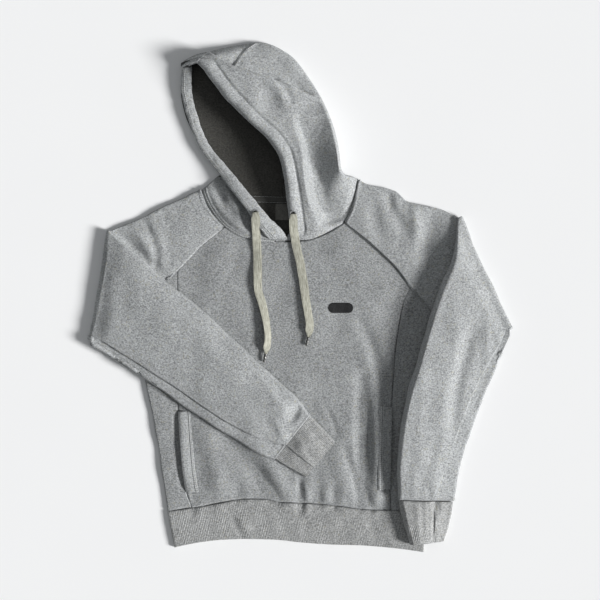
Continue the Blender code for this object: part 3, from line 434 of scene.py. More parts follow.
def table_rows(columns, table, at):
    values = curve_through(np.arange(len(table)), table, at)
    return {name: values[:, i] for i, name in enumerate(columns)}


def seam_chain(lower, upper, corner_at, at):
    """Points up one seam and on up the next, with the corner between them at a given fraction."""
    at = np.asarray(at, float)
    first = along(lower, np.clip(at / corner_at, 0, 1))
    second = along(upper, np.clip((at - corner_at) / (1 - corner_at), 0, 1))
    return np.where((at <= corner_at)[:, None], first, second)


def curve_x(line, start, end, across):
    """Points of a seam line from one x to another."""
    x = start[0] + (end[0] - start[0]) * across
    line = np.asarray(line, float)
    return np.column_stack([x, curve_through(line[:, 0], line[:, 1:], x)[:, 0]])


def x_at(line, y):
    line = np.asarray(line, float)
    return np.interp(y, line[:, 1], line[:, 0])


def y_at(line, x):
    line = np.asarray(line, float)
    return np.interp(x, line[:, 0], line[:, 1])


NEAR_SEAM = np.array([0, 0.5, 1, 1.5, 2.1, 2.8, 3.5, 4.2, 5, 5.8, 6.6, 7.6, 9, 11])


def seam_spacing(length, step):
    """Fractions along a length, close together beside the seams at its ends."""
    low, high = NEAR_SEAM[-1] + step, length - NEAR_SEAM[-1] - step
    inner = np.linspace(low, high, max(2, round((high - low) / step)))
    return np.concatenate([NEAR_SEAM, inner, length - NEAR_SEAM[::-1]]) / length


def folds(table, x, y):
    """Height of soft folds at x, y: each trough has low shoulders, each ridge low hollows."""
    total = np.zeros(np.broadcast(x, y).shape)
    for x0, y0, x1, y1, bow, width, tall in table:
        run = math.hypot(x1 - x0, y1 - y0)
        ux, uy = (x1 - x0) / run, (y1 - y0) / run
        part = ((x - x0) * ux + (y - y0) * uy) / run
        near = np.clip(part, 0, 1)
        side = (y - y0) * ux - (x - x0) * uy - bow * 4 * near * (1 - near)
        away = np.hypot(side, (part - near) * run) / width
        fade = np.sin(math.pi * (0.12 + 0.76 * near)) ** 0.7
        total += tall * fade * (bell(away, 1) - 0.28 * bell(away, 2.2))
    return total


def line_distance(line, x, y):
    """Distance to a line of points, and which side: positive on the left of its direction."""
    line = along(line, np.linspace(0, 1, 60))
    best = np.full(np.broadcast(x, y).shape, 1e9)
    signed = best.copy()
    for (x0, y0), (x1, y1) in zip(line, line[1:]):
        run = math.hypot(x1 - x0, y1 - y0)
        ux, uy = (x1 - x0) / run, (y1 - y0) / run
        part = (x - x0) * ux + (y - y0) * uy
        side = (y - y0) * ux - (x - x0) * uy
        away = np.hypot(side, part - np.clip(part, 0, run))
        closer = away < best
        best = np.where(closer, away, best)
        signed = np.where(closer, np.copysign(away, side), signed)
    return signed


def ripple(points, size, seed):
    """Gentle random unevenness of about unit height, over distances of the given size."""
    draw = np.random.default_rng(seed)
    waves = draw.normal(size=(14, 3))
    waves *= (draw.uniform(0.6, 1.5, 14) / np.linalg.norm(waves, axis=1))[:, None]
    phase = draw.uniform(0, 2 * math.pi, 14)
    return np.sin(points @ waves.T * (2 * math.pi / size) + phase).sum(axis=-1) / math.sqrt(7)


def outward(points, loop=False, flip=False):
    """Unit normals of a grid of points, on its outer side."""
    if loop:
        across = np.roll(points, -1, axis=1) - np.roll(points, 1, axis=1)
    else:
        across = np.gradient(points, axis=1)
    normal = np.cross(across, np.gradient(points, axis=0))
    normal /= np.maximum(np.linalg.norm(normal, axis=2, keepdims=True), 1e-9)
    return -normal if flip else normal


def edge_distance(points, axis, from_end=False):
    """Distance from an edge of the grid, measured over the cloth."""
    steps = np.linalg.norm(np.diff(points, axis=axis), axis=2)
    pad = [(0, 0), (0, 0)]
    pad[axis] = (1, 0)
    far = np.cumsum(np.pad(steps, pad), axis=axis)
    return np.take(far, [-1], axis=axis) - far if from_end else far


def bell(d, width):
    """1 where d is 0, and nearly 0 at twice the width."""
    return np.exp(-((d / width) ** 2))


def groove(d, depth=1.5):
    """Cloth that turns down into a plain seam, at distance d from it."""
    return -depth * bell(d, 1.3)


def welted(d, width=6.0, height=1.0, rows=(4.4,), dip=0.7, slope=1.1, sink=0.8):
    """Seam with its allowance stitched down beside it: a raised band with sunk rows of stitches."""
    band = smooth((d - 0.1) / slope) * (1 - smooth((d - width) / 1.4))
    sunk = sum(bell(d - row, 0.75) for row in rows)
    return height * band - sink * sunk - dip * bell(d, 0.8)


def crowned(part, crest, fall):
    """Height of soft cloth across its width, 0 at the edges and 1 at its crest."""
    rise = np.sin(math.pi / 2 * np.clip(part / crest, 0, 1))
    return rise * (1 - np.clip((part - crest) / (1 - crest), 0, 1) ** fall)


# Objects ----------------------------------------------------------------------------------------


def mesh_of(shape, name):
    mesh = bpy.data.meshes.new(name)
    shape.to_mesh(mesh)
    shape.free()
    return mesh


def tree_of(obj):
    shape = bmesh.new()
    shape.from_mesh(obj.data)
    tree = BVHTree.FromBMesh(shape)
    shape.free()
    return tree


def seen_from_above(tree, x, y):
    """Place on a piece under x, y, and its normal, or None twice."""
    return tree.ray_cast(Vector((x * MM, y * MM, 0.2)), Vector((0, 0, -1)))[:2]


def close_ends(obj):
    shape = bmesh.new()
    shape.from_mesh(obj.data)
    bmesh.ops.holes_fill(shape, edges=shape.edges)
    bmesh.ops.recalc_face_normals(shape, faces=shape.faces)
    shape.to_mesh(obj.data)
    shape.free()


def place(name, mesh, slot, *materials):
    obj = bpy.data.objects.new(name, mesh)
    bpy.context.scene.collection.objects.link(obj)
    for material in materials:
        mesh.materials.append(material)
    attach(obj, "root")
    return obj


def cloth(name, points, wall, slot, material, loop=False, flip=False):
    """A wall of cloth whose outer face runs through a grid of points, with a UV map in metres."""
    points = np.array(points, float)
    points[..., 2] = np.maximum(points[..., 2], 0)
    if flip:
        points = points[:, ::-1]
    if loop:
        points = np.concatenate([points, points[:, :1]], axis=1)
    rows, columns = points.shape[:2]
    shape = bmesh.new()
    bmesh.ops.create_grid(shape, x_segments=columns - 1, y_segments=rows - 1, size=1)
    mesh = mesh_of(shape, name)
    mesh.vertices.foreach_set("co", (points * MM).ravel())
    corner = np.empty(len(mesh.loops), int)
    mesh.loops.foreach_get("vertex_index", corner)
    across, up = edge_distance(points, 1), edge_distance(points, 0)
    middle = 0 if loop else across[:, -1:] / 2
    up = np.broadcast_to(up.mean(axis=1, keepdims=True), up.shape)
    uv = np.stack([across - middle, up], axis=2).reshape(-1, 2) * MM
    mesh.uv_layers.new(name="cloth").data.foreach_set("uv", uv[corner].ravel())
    if loop:
        shape = bmesh.new()
        shape.from_mesh(mesh)
        bmesh.ops.remove_doubles(shape, verts=shape.verts, dist=1e-6)
        shape.to_mesh(mesh)
        shape.free()
    mesh.shade_smooth()
    mesh.update()
    materials = material if isinstance(material, tuple) else (material,)
    obj = place(name, mesh, slot, *materials)
    if wall:
        solid = obj.modifiers.new("wall", "SOLIDIFY")
        solid.material_offset = len(materials) - 1
        solid.thickness = wall * MM
        solid.offset = -1
        solid.use_even_offset = False
    return obj


# Body -------------------------------------------------------------------------------------------


def front_z(x, y):
    """Outer face of the front without its seam detail."""
    x, y = np.broadcast_arrays(np.asarray(x, float), np.asarray(y, float))
    right_seam = PRINCESS_RIGHT + RAGLAN_RIGHT[1:]
    left_seam = PRINCESS_LEFT + RAGLAN_LEFT[1:]
    to_right, to_left = x - x_at(right_seam, y), x_at(left_seam, y) - x
    to_sides = np.minimum(np.abs(to_right), np.abs(to_left))
    to_ends = np.minimum(y - y_at(HEM_SEAM, x), y_at(NECK_FRONT, x) - y)
    near = np.clip(np.minimum(to_sides, to_ends), 0, None)
    centre = (to_right > 0) & (to_left > 0)
    puff = BODY_PUFF * smooth(to_sides / 60) * smooth(to_ends / 50) * centre
    height = FRONT_LIE + SEAM_RISE * smooth(near / 4) + puff
    height = height + folds(BODY_FOLDS, x, y) * smooth((near + 3) / 10)
    return np.maximum(height, 5.0)


def front_panel(material):
    corner_at = 0.8  # the armpit, as a share of the length from hem to neck
    up = seam_spacing(500, 3.6)
    across = seam_spacing(375, 3.6)
    right = seam_chain(PRINCESS_RIGHT, RAGLAN_RIGHT, corner_at, up) + (0.1, 0)
    left = seam_chain(PRINCESS_LEFT, RAGLAN_LEFT, corner_at, up) - (0.1, 0)
    hem = curve_x(HEM_SEAM, right[0], left[0], across)
    neck = curve_x(NECK_FRONT, right[-1], left[-1], across)
    plan = right[:, None] + (left - right)[:, None] * across[:, None]
    low = hem - plan[0]
    high = neck - plan[-1]
    up = up[:, None, None]
    plan = plan + low * (1 - up) ** 2 + high * smooth((up - 0.45) / 0.55)
    points = np.dstack([plan, front_z(plan[..., 0], plan[..., 1])])
    normal = outward(points)
    detail = 0.45 * ripple(points, 70, 11) + 0.12 * ripple(points, 14, 12)
    detail = detail + groove(edge_distance(points, 0)) + groove(edge_distance(points, 0, True), 1.2)
    shallow = 1 - 0.8 * smooth((up[..., 0] - 0.68) / 0.08)
    from_sides = groove(edge_distance(points, 1)) + groove(edge_distance(points, 1, True))
    detail = detail + from_sides * shallow
    points = points + normal * detail[..., None]
    return cloth("front_cloth", points, FLEECE, "fleece", material)


def turned_edge(height, radius, count):
    """Half round from the outer face over the edge to the ground: (distance inboard, height)."""
    angles = np.linspace(90, -90, count)
    return [
        (radius * (1 - math.cos(math.radians(a))), height * (1 + math.sin(math.radians(a))) / 2)
        for a in angles
    ]


def side_front(side_name, side, material):
    """Side front from the princess seam to the side, turned under there."""
    seam, pocket_low, pocket_high, inward = WELTS[side_name]
    up = seam_spacing(400, 4)
    inner_line = along(seam, up) - (inward * 0.1, 0)
    outer_line = along(side, up)
    rows = []
    for v, inner, outer in zip(up, inner_line, outer_line):
        width = np.linalg.norm(outer - inner)
        to_inner = (inner - outer) / width
        full = FRONT_LIE + SEAM_RISE
        places = width - np.concatenate([NEAR_SEAM, np.linspace(13, width - 6, 12)])
        crown = 0.9 * np.sin(math.pi * places / width) * min(1, 8 * v, 8 * (1 - v))
        profile = list(zip(places, full + crown)) + turned_edge(full, full / 2, 11)
        profile += [(full / 2 + 4, 0)]
        rows.append([(*(outer + to_inner * inboard), z) for inboard, z in profile])
    points = np.array(rows)
    flip = inward > 0
    normal = outward(points, flip=flip)
    y = points[..., 1]
    hollow = smooth((y - pocket_low) / 15) * smooth((pocket_high - y) / 15)
    from_seam = edge_distance(points, 1)
    dip = -2.4 * hollow * (1 - smooth((from_seam - 5) / 10))
    detail = 0.3 * ripple(points, 60, 21) + 0.1 * ripple(points, 14, 22)
    shallow = (1 - hollow) * (1 - 0.8 * smooth((y + 40) / 30))
    detail = detail + groove(edge_distance(points, 0)) + groove(from_seam) * shallow + dip
    top = points[..., 2:] > 1.0
    points = points + normal * (detail[..., None] * top)
    return cloth(f"side_front_{side_name}_cloth", points, FLEECE, "fleece", material, flip=flip)


def back_panel(material):
    corner_at = 0.62  # the armpit, as a share of the length from hem to neck
    inset = FRONT_LIE / 2 + 0.8 + SEAM_RISE / 2
    up, across = seam_spacing(560, 8), seam_spacing(500, 8)
    side_right = [(x + inset, y) for x, y in SIDE_RIGHT]
    side_left = [(x - inset, y) for x, y in SIDE_LEFT]
    right = seam_chain(side_right, RAGLAN_BACK_RIGHT, corner_at, up)
    left = seam_chain(side_left, RAGLAN_BACK_LEFT, corner_at, up)
    plan = right[:, None] + (left - right)[:, None] * across[:, None]
    low = curve_x(HEM_SEAM, right[0], left[0], across) - plan[0]
    high = curve_x(NECK_BACK, right[-1], left[-1], across) - plan[-1]
    up = up[:, None, None]
    plan = plan + low * (1 - up) ** 2 + high * up**6
    points = np.dstack([plan, np.zeros(plan.shape[:2])])
    edges = ((axis, end) for axis in (0, 1) for end in (False, True))
    lift = sum(groove(edge_distance(points, axis, end), 1.1) for axis, end in edges)
    points[..., 2] -= lift
    return cloth("back_cloth", points, FLEECE, "fleece", material, flip=True)


EDGE_ANGLES = np.radians([0, 15, 30, 45, 60, 75, 90])


def edge_places(width, radius, inner):
    """Distances across a flattened tube: round both edges, and at the given places between."""
    near = radius * (1 - np.cos(EDGE_ANGLES))
    return np.concatenate([near, inner, width - near[::-1]])


def layer_share(count):
    round_share = np.sin(EDGE_ANGLES)
    return np.concatenate([round_share, np.ones(count - 2 * len(round_share)), round_share[::-1]])


def flat_loop(front, back, front_z_line, back_z_line):
    """Closed loop round a flattened tube: across one layer, round its edge and back."""
    middle = (np.asarray(front_z_line) + np.asarray(back_z_line)) / 2
    first = np.column_stack([front, front_z_line])
    second = np.column_stack([back, back_z_line])
    first[0, 2], first[-1, 2] = middle[0], middle[-1]
    return np.concatenate([first, second[-2:0:-1]])


def hem_band(material):
    rows = []
    at_seam = [0.09, 0.06, 0.03, 0.015, 0]
    for down in [*np.linspace(1, 0.9, 5)[:-1], *np.linspace(0.9, 0.12, 14), *at_seam]:
        start = np.array(HEM_SEAM[0]) * (1 - down) + np.array(HEM_EDGE[0]) * down
        end = np.array(HEM_SEAM[-1]) * (1 - down) + np.array(HEM_EDGE[-1]) * down
        width = end[0] - start[0]
        places = edge_places(width, RIB_LIE / 2, np.linspace(4, width - 4, 560))
        across = places / width
        seam = curve_x(HEM_SEAM, start, end, across) - (0, 0.4)
        edge = curve_x(HEM_EDGE, start, end, across)
        plan = seam + (edge - seam) * down
        share = layer_share(len(places))
        middle = (RIB_LIE + HEM_PUFF * math.sin(math.pi * min(1, 1.1 * down))) / 2
        crease = folds(HEM_FOLDS + BODY_FOLDS, *plan.T) * (share == 1)
        front = middle + share * middle + np.maximum(crease, -1.6)
        rows.append(flat_loop(plan, plan, front, middle - share * middle))
    points = np.array(rows)
    normal = outward(points, loop=True)
    far = edge_distance(points, 0, True)
    detail = groove(far, 1.3) + 0.15 * ripple(points, 25, 31) + ribbed(points)
    detail = detail * smooth((points[..., 2] - 0.3) / 1.5)
    points = points + normal * detail[..., None]
    return cloth("hem_rib", points, RIB, "rib", material, loop=True)


# Sleeves and cuffs ------------------------------------------------------------------------------


SLEEVE_COLUMNS = 40
NEAR_UNDERARM = np.array([-7, -4.5, -3, -2, -1.2, -0.6, 0, 0.6, 1.2, 2, 3, 4.5, 7])


def sleeve_places(width, height, seam_at):
    """Distances across the sleeve, close together at the underarm seam."""
    seam = seam_at * width
    before = np.linspace(height / 2 + 3, seam - 9, SLEEVE_COLUMNS)
    room = width - height / 2 - 3 - seam - 9
    after = np.linspace(seam + 9, seam + 9 + max(room, 4), 8)
    return edge_places(width, height / 2, np.concatenate([before, seam + NEAR_UNDERARM, after]))


def sleeve_down(table, head_front, head_back, creases):
    """Loops of the run that lies on the ground, from neck and armhole to the fold."""
    at = np.concatenate([[0, 0.12, 0.24, 0.4, 0.6, 0.8], np.linspace(1.02, len(table) - 1, 46)])
    row = table_rows(SLEEVE_ROW, table, at)
    middle = np.column_stack([row["over_x"] + row["under_x"], row["over_y"] + row["under_y"]]) / 2
    gone = lengths(middle) / lengths(middle)[-1]
    loops = []
    for i in range(len(at)):
        over = (row["over_x"][i], row["over_y"][i])
        knee = (row["knee_x"][i], row["knee_y"][i])
        under = (row["under_x"][i], row["under_y"][i])
        width = lengths([over, knee, under])[-1]
        height = FRONT_LIE + (SLEEVE_LOFT - FRONT_LIE) * smooth(at[i])
        places = sleeve_places(width, height, 0.93)
        part = places / places[-1]
        plan = seam_chain([over, knee], [knee, under], HEAD_CORNER, part)
        if i == 0:
            first = (over, knee, under)
        straight = seam_chain(first[:2], first[1:], HEAD_CORNER, part)
        lead = seam_chain(*head_front, HEAD_CORNER, part) - straight
        tail = seam_chain(*head_back, HEAD_CORNER, part) - straight
        fade = 1 - smooth(gone[i])
        share = layer_share(len(part))
        lens = np.clip(4 * part * (1 - part), 0, 1) ** 0.7
        front, back = plan + lead * fade, plan + tail * fade
        crease = folds(creases, *front.T) * smooth(lens / 0.35) * smooth(at[i] / 1.2)
        puff = (row["puff"][i] + 2.5 * smooth(at[i] / 1.5)) * lens + np.maximum(crease, -6.0)
        half, rise = height / 2, share * height / 2
        loops.append(flat_loop(front, back, half + rise + puff, half - rise))
    return loops


def fold_over(loop, axis_height, away, turn):
    """The loop swung about its own line, at axis_height, by an angle."""
    radius = axis_height - loop[:, 2]
    swung = loop.copy()
    swung[:, :2] += np.outer(radius * math.sin(turn), away)
    swung[:, 2] = axis_height - radius * math.cos(turn)
    return swung


def upper_run(table, at, heights, step, grown, creases, places_of, crest, fall):
    """Loops of cloth that lies over the front: from the fold to the cuff, or along a cuff."""
    row = table_rows(UPPER_ROW, table, at)
    loops = []
    for i in range(len(at)):
        over = np.array([row["over_x"][i], row["over_y"][i]])
        under = np.array([row["under_x"][i], row["under_y"][i]])
        width = np.linalg.norm(under - over)
        height = heights(at[i])
        places = places_of(width, height, row["seam_at"][i])
        part = places / places[-1]
        plan = over + (under - over) * part[:, None]
        droop = smooth((part - row["carried"][i]) / (1 - row["carried"][i]))
        bed = row["bed"][i] + (row["edge"][i] - row["bed"][i]) * droop
        cleared = front_z(*plan.T) + LAYER_GAP
        over_front = (plan[:, 0] > -255) & (plan[:, 0] < 215) & (plan[:, 1] > -374)
        bed = np.where(over_front, np.maximum(bed, cleared), bed)
        grow = grown(at[i])
        stepped = step * grow * (1 - smooth((part * width - row["seam_at"][i] * width + 1.6) / 3.2))
        lens = crowned(part, crest, fall)
        crease = folds(creases, *plan.T) * smooth(lens / 0.35) * grow
        puff = row["puff"][i] * lens
        full = height + stepped + puff + np.maximum(crease, -4 - puff)
        middle, rise = bed + full / 2, layer_share(len(places)) * full / 2
        loops.append(flat_loop(plan, plan, middle - rise, middle + rise))
    return loops


def sleeve(side, down, up, material, flip):
    loops = sleeve_down(down, *HEADS[side], SLEEVE_FOLDS[side + "_down"])
    last = loops[-1]
    seam_depth = [1.2] * len(loops) + [0.4] * FOLD_ROWS
    line = last[len(last) // 2, :2] - last[0, :2]
    away = unit(np.array([line[1], -line[0]]))
    if away @ (last[0, :2] - loops[0][0, :2]) < 0:
        away = -away
    for turn in np.linspace(12, 168, FOLD_ROWS):
        loops.append(fold_over(last, SLEEVE_LOFT + FOLD_INNER, away, math.radians(turn)))
    top_row = len(up) - 1
    near_cuff = np.array([0.24, 0.18, 0.13, 0.1, 0.07, 0.04, 0.02, 0])
    rows = np.concatenate([np.linspace(0, top_row - 0.32, 88), top_row - near_cuff])
    seam_depth = np.concatenate([seam_depth, 0.4 + 4.0 * smooth((rows - 0.2) / 0.8)])[:, None]

    def loft(at):
        closed = smooth(at / 0.9) * smooth((top_row + 0.02 - at) / 0.13)
        return SLEEVE_LOFT + (SLEEVE_EDGE[side] - SLEEVE_LOFT) * closed

    creases, crown = SLEEVE_FOLDS[side + "_up"], SLEEVE_CROWN[side]
    loops += upper_run(up, rows, loft, SEAM_STEP[side], smooth, creases, sleeve_places, *crown)
    points = np.array(loops)
    normal = outward(points, loop=True, flip=flip)
    from_head, to_cuff = edge_distance(points, 0), edge_distance(points, 0, True)
    detail = (0.5 * ripple(points, 65, 41) + 0.12 * ripple(points, 14, 42)) * smooth(to_cuff / 20)
    detail = detail + welted(from_head, 5.2, 2.4, slope=3.4, sink=2.2)
    detail = detail + groove(to_cuff, 0.8) + 0.7 * bell(to_cuff - 3.6, 2.6)
    across = edge_distance(points, 1)
    seam_column = len(EDGE_ANGLES) + SLEEVE_COLUMNS + len(NEAR_UNDERARM) // 2
    for column in (seam_column, points.shape[1] - seam_column):
        from_seam = across - across[:, column : column + 1]
        detail = detail - seam_depth * bell(from_seam, 1.6) * smooth(from_head / 15)
    points = points + normal * detail[..., None]
    points[..., 2] = np.maximum(points[..., 2], 0)
    normal = outward(points, loop=True, flip=flip)
    sunk_lines.append(line_beside(points, normal, 4.4))
    for away in (3.4, 6.0):
        sunk_lines.append(line_beside(points, normal, away, from_end=True))
    return cloth(f"sleeve_{side}_cloth", points, FLEECE, "fleece", material, loop=True, flip=flip)


def cuff_places(width, height, _):
    inset = height / 2 + 0.6
    return edge_places(width, height / 2, np.linspace(inset, width - inset, 132))


def ribbed(points):
    """Knitted ribs that run along the grid's rows."""
    return 0.34 * np.cos(2 * math.pi * edge_distance(points, 1) / RIB_PITCH)


def cuff(side, table, material, flip):
    at = np.array([0, 0.02, 0.05, 0.09, *np.linspace(0.14, 1.86, 26), 1.9, 1.93, 1.96, 1.98, 2.0])
    even = (lambda _: RIB_LIE), CUFF_STEP, (lambda _: 1.0)
    loops = upper_run(table, at, *even, CUFF_FOLDS[side], cuff_places, *CUFF_CROWN[side])
    points = np.array(loops)
    normal = outward(points, loop=True, flip=flip)
    detail = groove(edge_distance(points, 0), 0.6) + 0.2 * ripple(points, 25, 51) + ribbed(points)
    points = points + normal * detail[..., None]
    return cloth(f"cuff_{side}_rib", points, RIB, "rib", material, loop=True, flip=flip)


# Hood -------------------------------------------------------------------------------------------


def casing_turn(points, normal, width, turn):
    """The turned-in hem beyond a grid's last row: round the edge and back on the inner side."""
    steps = edge_distance(points, 0, True)
    tangent = unit(points[-1] - points[-2])
    inner = [k for k in range(len(points) - 1, 0, -1) if turn < steps[k].mean() < width]
    keep = [k for k in range(len(points)) if steps[k].mean() >= turn]
    base = points[keep[-1]]
    upward = normal[keep[-1]]
    rows = []
    for angle in np.radians(np.linspace(15, 165, 9)):
        rows.append(base + tangent * turn * math.sin(angle) + upward * turn * (math.cos(angle) - 1))
    for k in inner:
        rows.append(points[k] - normal[k] * 2 * turn)
    return np.concatenate([points[keep], np.array(rows)])


# Places across the casing, as shares of its width: its seam is at 1
CASING_PLACES = np.array(
    [0, 0.05, 0.1, 0.16, 0.24, 0.34, 0.45, 0.56, 0.67, 0.77, 0.85, 0.91, 0.95, 1, 1.05, 1.1, 1.16]
)
CASING_SEAM = 13  # its column
HOOD_LEFT_COLUMNS = 57  # between the casing and the rim


def hood_left(material):
    """From the mouth edge over the top, round the outer side and under to the centre seam."""
    last = len(HOOD_LEFT_SECTIONS) - 1
    row = table_rows(HOOD_LEFT_ROW, HOOD_LEFT_SECTIONS, np.linspace(0, last, HOOD_SECTIONS))
    sections = []
    for i in range(HOOD_SECTIONS):
        get = {name: values[i] for name, values in row.items()}
        mouth = np.array([get["mouth_x"], get["mouth_y"]])
        side = np.array([get["side_x"], get["side_y"]])
        seam = np.array([get["seam_x"], get["seam_y"]])
        length = np.linalg.norm(side - mouth)
        radius = min(get["rim_z"] / 2, 5.5)
        casing = min(CASING, 0.35 * length)
        ridge, valley, rim = get["ridge_at"] * length, get["valley_at"] * length, length - radius
        knots = [0, 0.4 * casing, casing, ridge, valley, rim]
        names = ("mouth_z", "roll_z", "casing_z", "ridge_z", "valley_z", "rim_z")
        heights = [[get[name]] for name in names]
        near = casing * CASING_PLACES
        far = np.linspace(near[-1] + 2, rim, HOOD_LEFT_COLUMNS + 1)[:-1]
        places = np.concatenate([near, far])
        top_z = curve_through(knots, heights, places)[:, 0]
        profile = list(zip(places, top_z))
        profile += [(length - inboard, z) for inboard, z in turned_edge(get["rim_z"], radius, 13)]
        bow = get["bow"] / HOOD_LEFT_SECTIONS[0][12]
        shares = np.array([p for p, _ in profile]) / length
        chord = np.array(NECK_LEFT[0]) + (np.array(NECK_LEFT[-1]) - NECK_LEFT[0]) * shares[:, None]
        bent = along(NECK_LEFT, np.clip(shares, 0, 1)) - chord
        plan = mouth + (side - mouth) * shares[:, None] + bent * bow
        section = np.column_stack([plan, [z for _, z in profile]])
        inward = unit(seam - side)
        start = side + inward * radius
        parts = np.linspace(0, 1, 9)[1:, None]
        under = np.column_stack([start + (seam - start) * parts, np.zeros(len(parts))])
        sections.append(np.concatenate([section, under]))
    points = np.array(sections)
    top_columns = len(CASING_PLACES) + HOOD_LEFT_COLUMNS
    weight = np.zeros(points.shape[1])
    weight[:top_columns] = 1
    weight[top_columns : top_columns + 6] = np.linspace(1, 0, 6)
    x, y = points[..., 0], points[..., 1]
    detail = folds(HOOD_FOLDS, x, y)
    crease = line_distance(CROWN_CREASE[::-1], x, y)
    beyond = np.clip(-crease, 0, None)
    to_rim = edge_distance(points[:, :top_columns], 1, True)
    to_rim = np.pad(to_rim, ((0, 0), (0, points.shape[1] - top_columns)))
    from_end = np.clip(30 - x, 0, 150)
    inboard = smooth(to_rim / (14 + 0.3 * from_end))
    drop = (9.0 + 0.045 * from_end) * inboard
    detail = detail - drop * smooth((1.0 - crease) / 2.6) * np.exp(-beyond / 90)
    detail = detail - 2.8 * bell(crease + 2.4, 2) * smooth(to_rim / 8)
    detail = detail + 1.8 * bell(crease - 3.4, 3.4)
    seam_side = line_distance(CENTRE_SEAM_TOP, x, y)
    detail = detail - 5.0 * smooth(seam_side / 30) * smooth(-crease / 4) * inboard
    detail = detail + 1.9 * bell(seam_side, 1.8) - bell(seam_side - 2.8, 1.4)
    sewn = edge_distance(points, 1)
    from_neck = edge_distance(points, 0)
    casing_line = sewn[:, CASING_SEAM : CASING_SEAM + 1]
    clear = smooth((from_neck - 4) / 16)
    beside = sewn - casing_line
    roll = 1.6 * np.sin(math.pi * np.clip(sewn / casing_line, 0, 1))
    detail = detail + (roll - 1.3 * bell(beside, 2) + 0.6 * bell(beside - 4.5, 2.8)) * clear
    uneven = 0.45 * ripple(points, 55, 61) + 0.12 * ripple(points, 14, 62)
    detail = (detail * smooth(from_neck / 14) + uneven + groove(from_neck, 1.3)) * weight
    normal = outward(points)
    points = points + normal * detail[..., None]
    normal = outward(points)
    sunk_lines.append((points[10:, CASING_SEAM], normal[10:, CASING_SEAM]))
    turned = np.transpose(points[:, ::-1], (1, 0, 2))
    turned = casing_turn(turned, outward(turned), CASING - 2, CASING_TURN)
    return cloth("hood_left_cloth", turned, FLEECE, "fleece", material)


NECK_STITCHES = (5.4, 8.2)  # rows over the neck band, from its seam


def hood_right(material):
    """From the neck seam to the mouth edge; it turns over at the shoulder and lies flat beyond."""
    seam_table = [section[-2:] for section in HOOD_LEFT_SECTIONS]
    v = seam_spacing(200, 2.6)
    seam = curve_through(np.arange(len(seam_table)), seam_table, v * (len(seam_table) - 1))
    bulge = seam - (seam[0] + (seam[-1] - seam[0]) * v[:, None])
    last = len(HOOD_RIGHT_RIBS) - 1
    spans = np.linspace(0, 6, 60)[:-1], np.linspace(6, 8, 17)[:-1], np.linspace(8, last, 70)
    rib_rows = np.concatenate(spans)
    ribs = table_rows(HOOD_RIGHT_ROW, HOOD_RIGHT_RIBS, rib_rows)
    columns = []
    for i in range(len(rib_rows)):
        get = {name: values[i] for name, values in ribs.items()}
        neck = np.array([get["neck_x"], get["neck_y"]])
        mouth = np.array([get["mouth_x"], get["mouth_y"]])
        plan = neck + (mouth - neck) * v[:, None] + bulge * get["spread"]
        heights = [[get[k]] for k in ("neck_z", "belly_z", "trough_z", "roll_z", "mouth_z")]
        columns.append(np.column_stack([plan, curve_through([0, 0.3, 0.58, 0.8, 1], heights, v)]))
    points = np.transpose(np.array(columns), (1, 0, 2))
    upper = (rib_rows < HOOD_RIGHT_UPPER)[None, :] * np.ones(points.shape[:2])
    normal = outward(points, flip=True)
    from_neck = edge_distance(points, 0)
    detail = folds(COLLAR_FOLDS, points[..., 0], points[..., 1]) * upper
    detail = detail + 0.35 * ripple(points, 50, 71) * upper
    band = welted(from_neck, 9.4, 1.8, NECK_STITCHES, sink=0.2) - 2.6 * bell(from_neck, 1.7)
    detail = detail * smooth(from_neck / 10) + band * upper
    points = points + normal * detail[..., None]
    normal = outward(points, flip=True)
    neck_part = (0, np.argmin(np.abs(rib_rows - 6.4)) / (len(rib_rows) - 1))
    for away in NECK_STITCHES:
        sewn_lines.append(line_beside(points, normal, away, part=neck_part))
    return cloth("hood_right_cloth", points, FLEECE, "fleece", material, flip=True)


def soft_box(count, power_x, power_z):
    """Ring of points round a box of size 1 whose corners are rounded away."""
    angle = np.linspace(0, 2 * math.pi, count, endpoint=False)
    pairs = (np.cos(angle), power_x), (np.sin(angle), power_z)
    return [np.sign(v) * np.abs(v) ** power / 2 for v, power in pairs]


def unit(vectors):
    return vectors / np.linalg.norm(vectors, axis=-1, keepdims=True)


def casing_roll(material):
    """The right half's casing: it follows the mouth's edge from the top corner to the crossing."""
    table = np.array(CASING_ROLL, float)
    far = lengths(table[:, :2]) / lengths(table[:, :2])[-1]
    row = curve_through(far, table, np.linspace(0, 1, 150))
    heading = unit(np.gradient(row[:, :2], axis=0))
    across = np.column_stack([-heading[:, 1], heading[:, 0], np.zeros(len(row))])
    wide, tall = soft_box(48, 0.85, 0.85)
    middle = np.column_stack([row[:, :2], row[:, 2] - row[:, 4] / 2])
    points = middle[:, None] + across[:, None] * (wide * row[:, 3:4])[..., None]
    points[..., 2] += tall * row[:, 4:5]
    normal = outward(points, loop=True)
    facing = np.sign((normal[..., 2] * tall).sum())
    side = wide * row[:, 3:4] + row[:, 3:4] / 2
    detail = 0.5 * ripple(points, 45, 75) + 0.25 * ripple(points, 14, 76)
    dents = bell(side - CASING_ROWS[0], 1) + 0.6 * bell(side - CASING_ROWS[1], 0.9)
    detail = detail - 1.2 * dents * (tall > 0)
    points = points + facing * normal * detail[..., None]
    normal = facing * outward(points, loop=True)
    for away in CASING_ROWS:
        column = int(np.argmin(np.abs(side.mean(axis=0) - away) + 99 * (tall < 0)))
        sewn_lines.append((points[2:-6, column], normal[2:-6, column]))
    points[..., 2] = np.minimum(points[..., 2], 3.5 + 24 * smooth((points[..., 1] - 98) / 11))
    roll = cloth("hood_casing_right", points, 0, "fleece", material, loop=True, flip=facing < 0)
    close_ends(roll)
    return roll


# Small pieces -----------------------------------------------------------------------------------


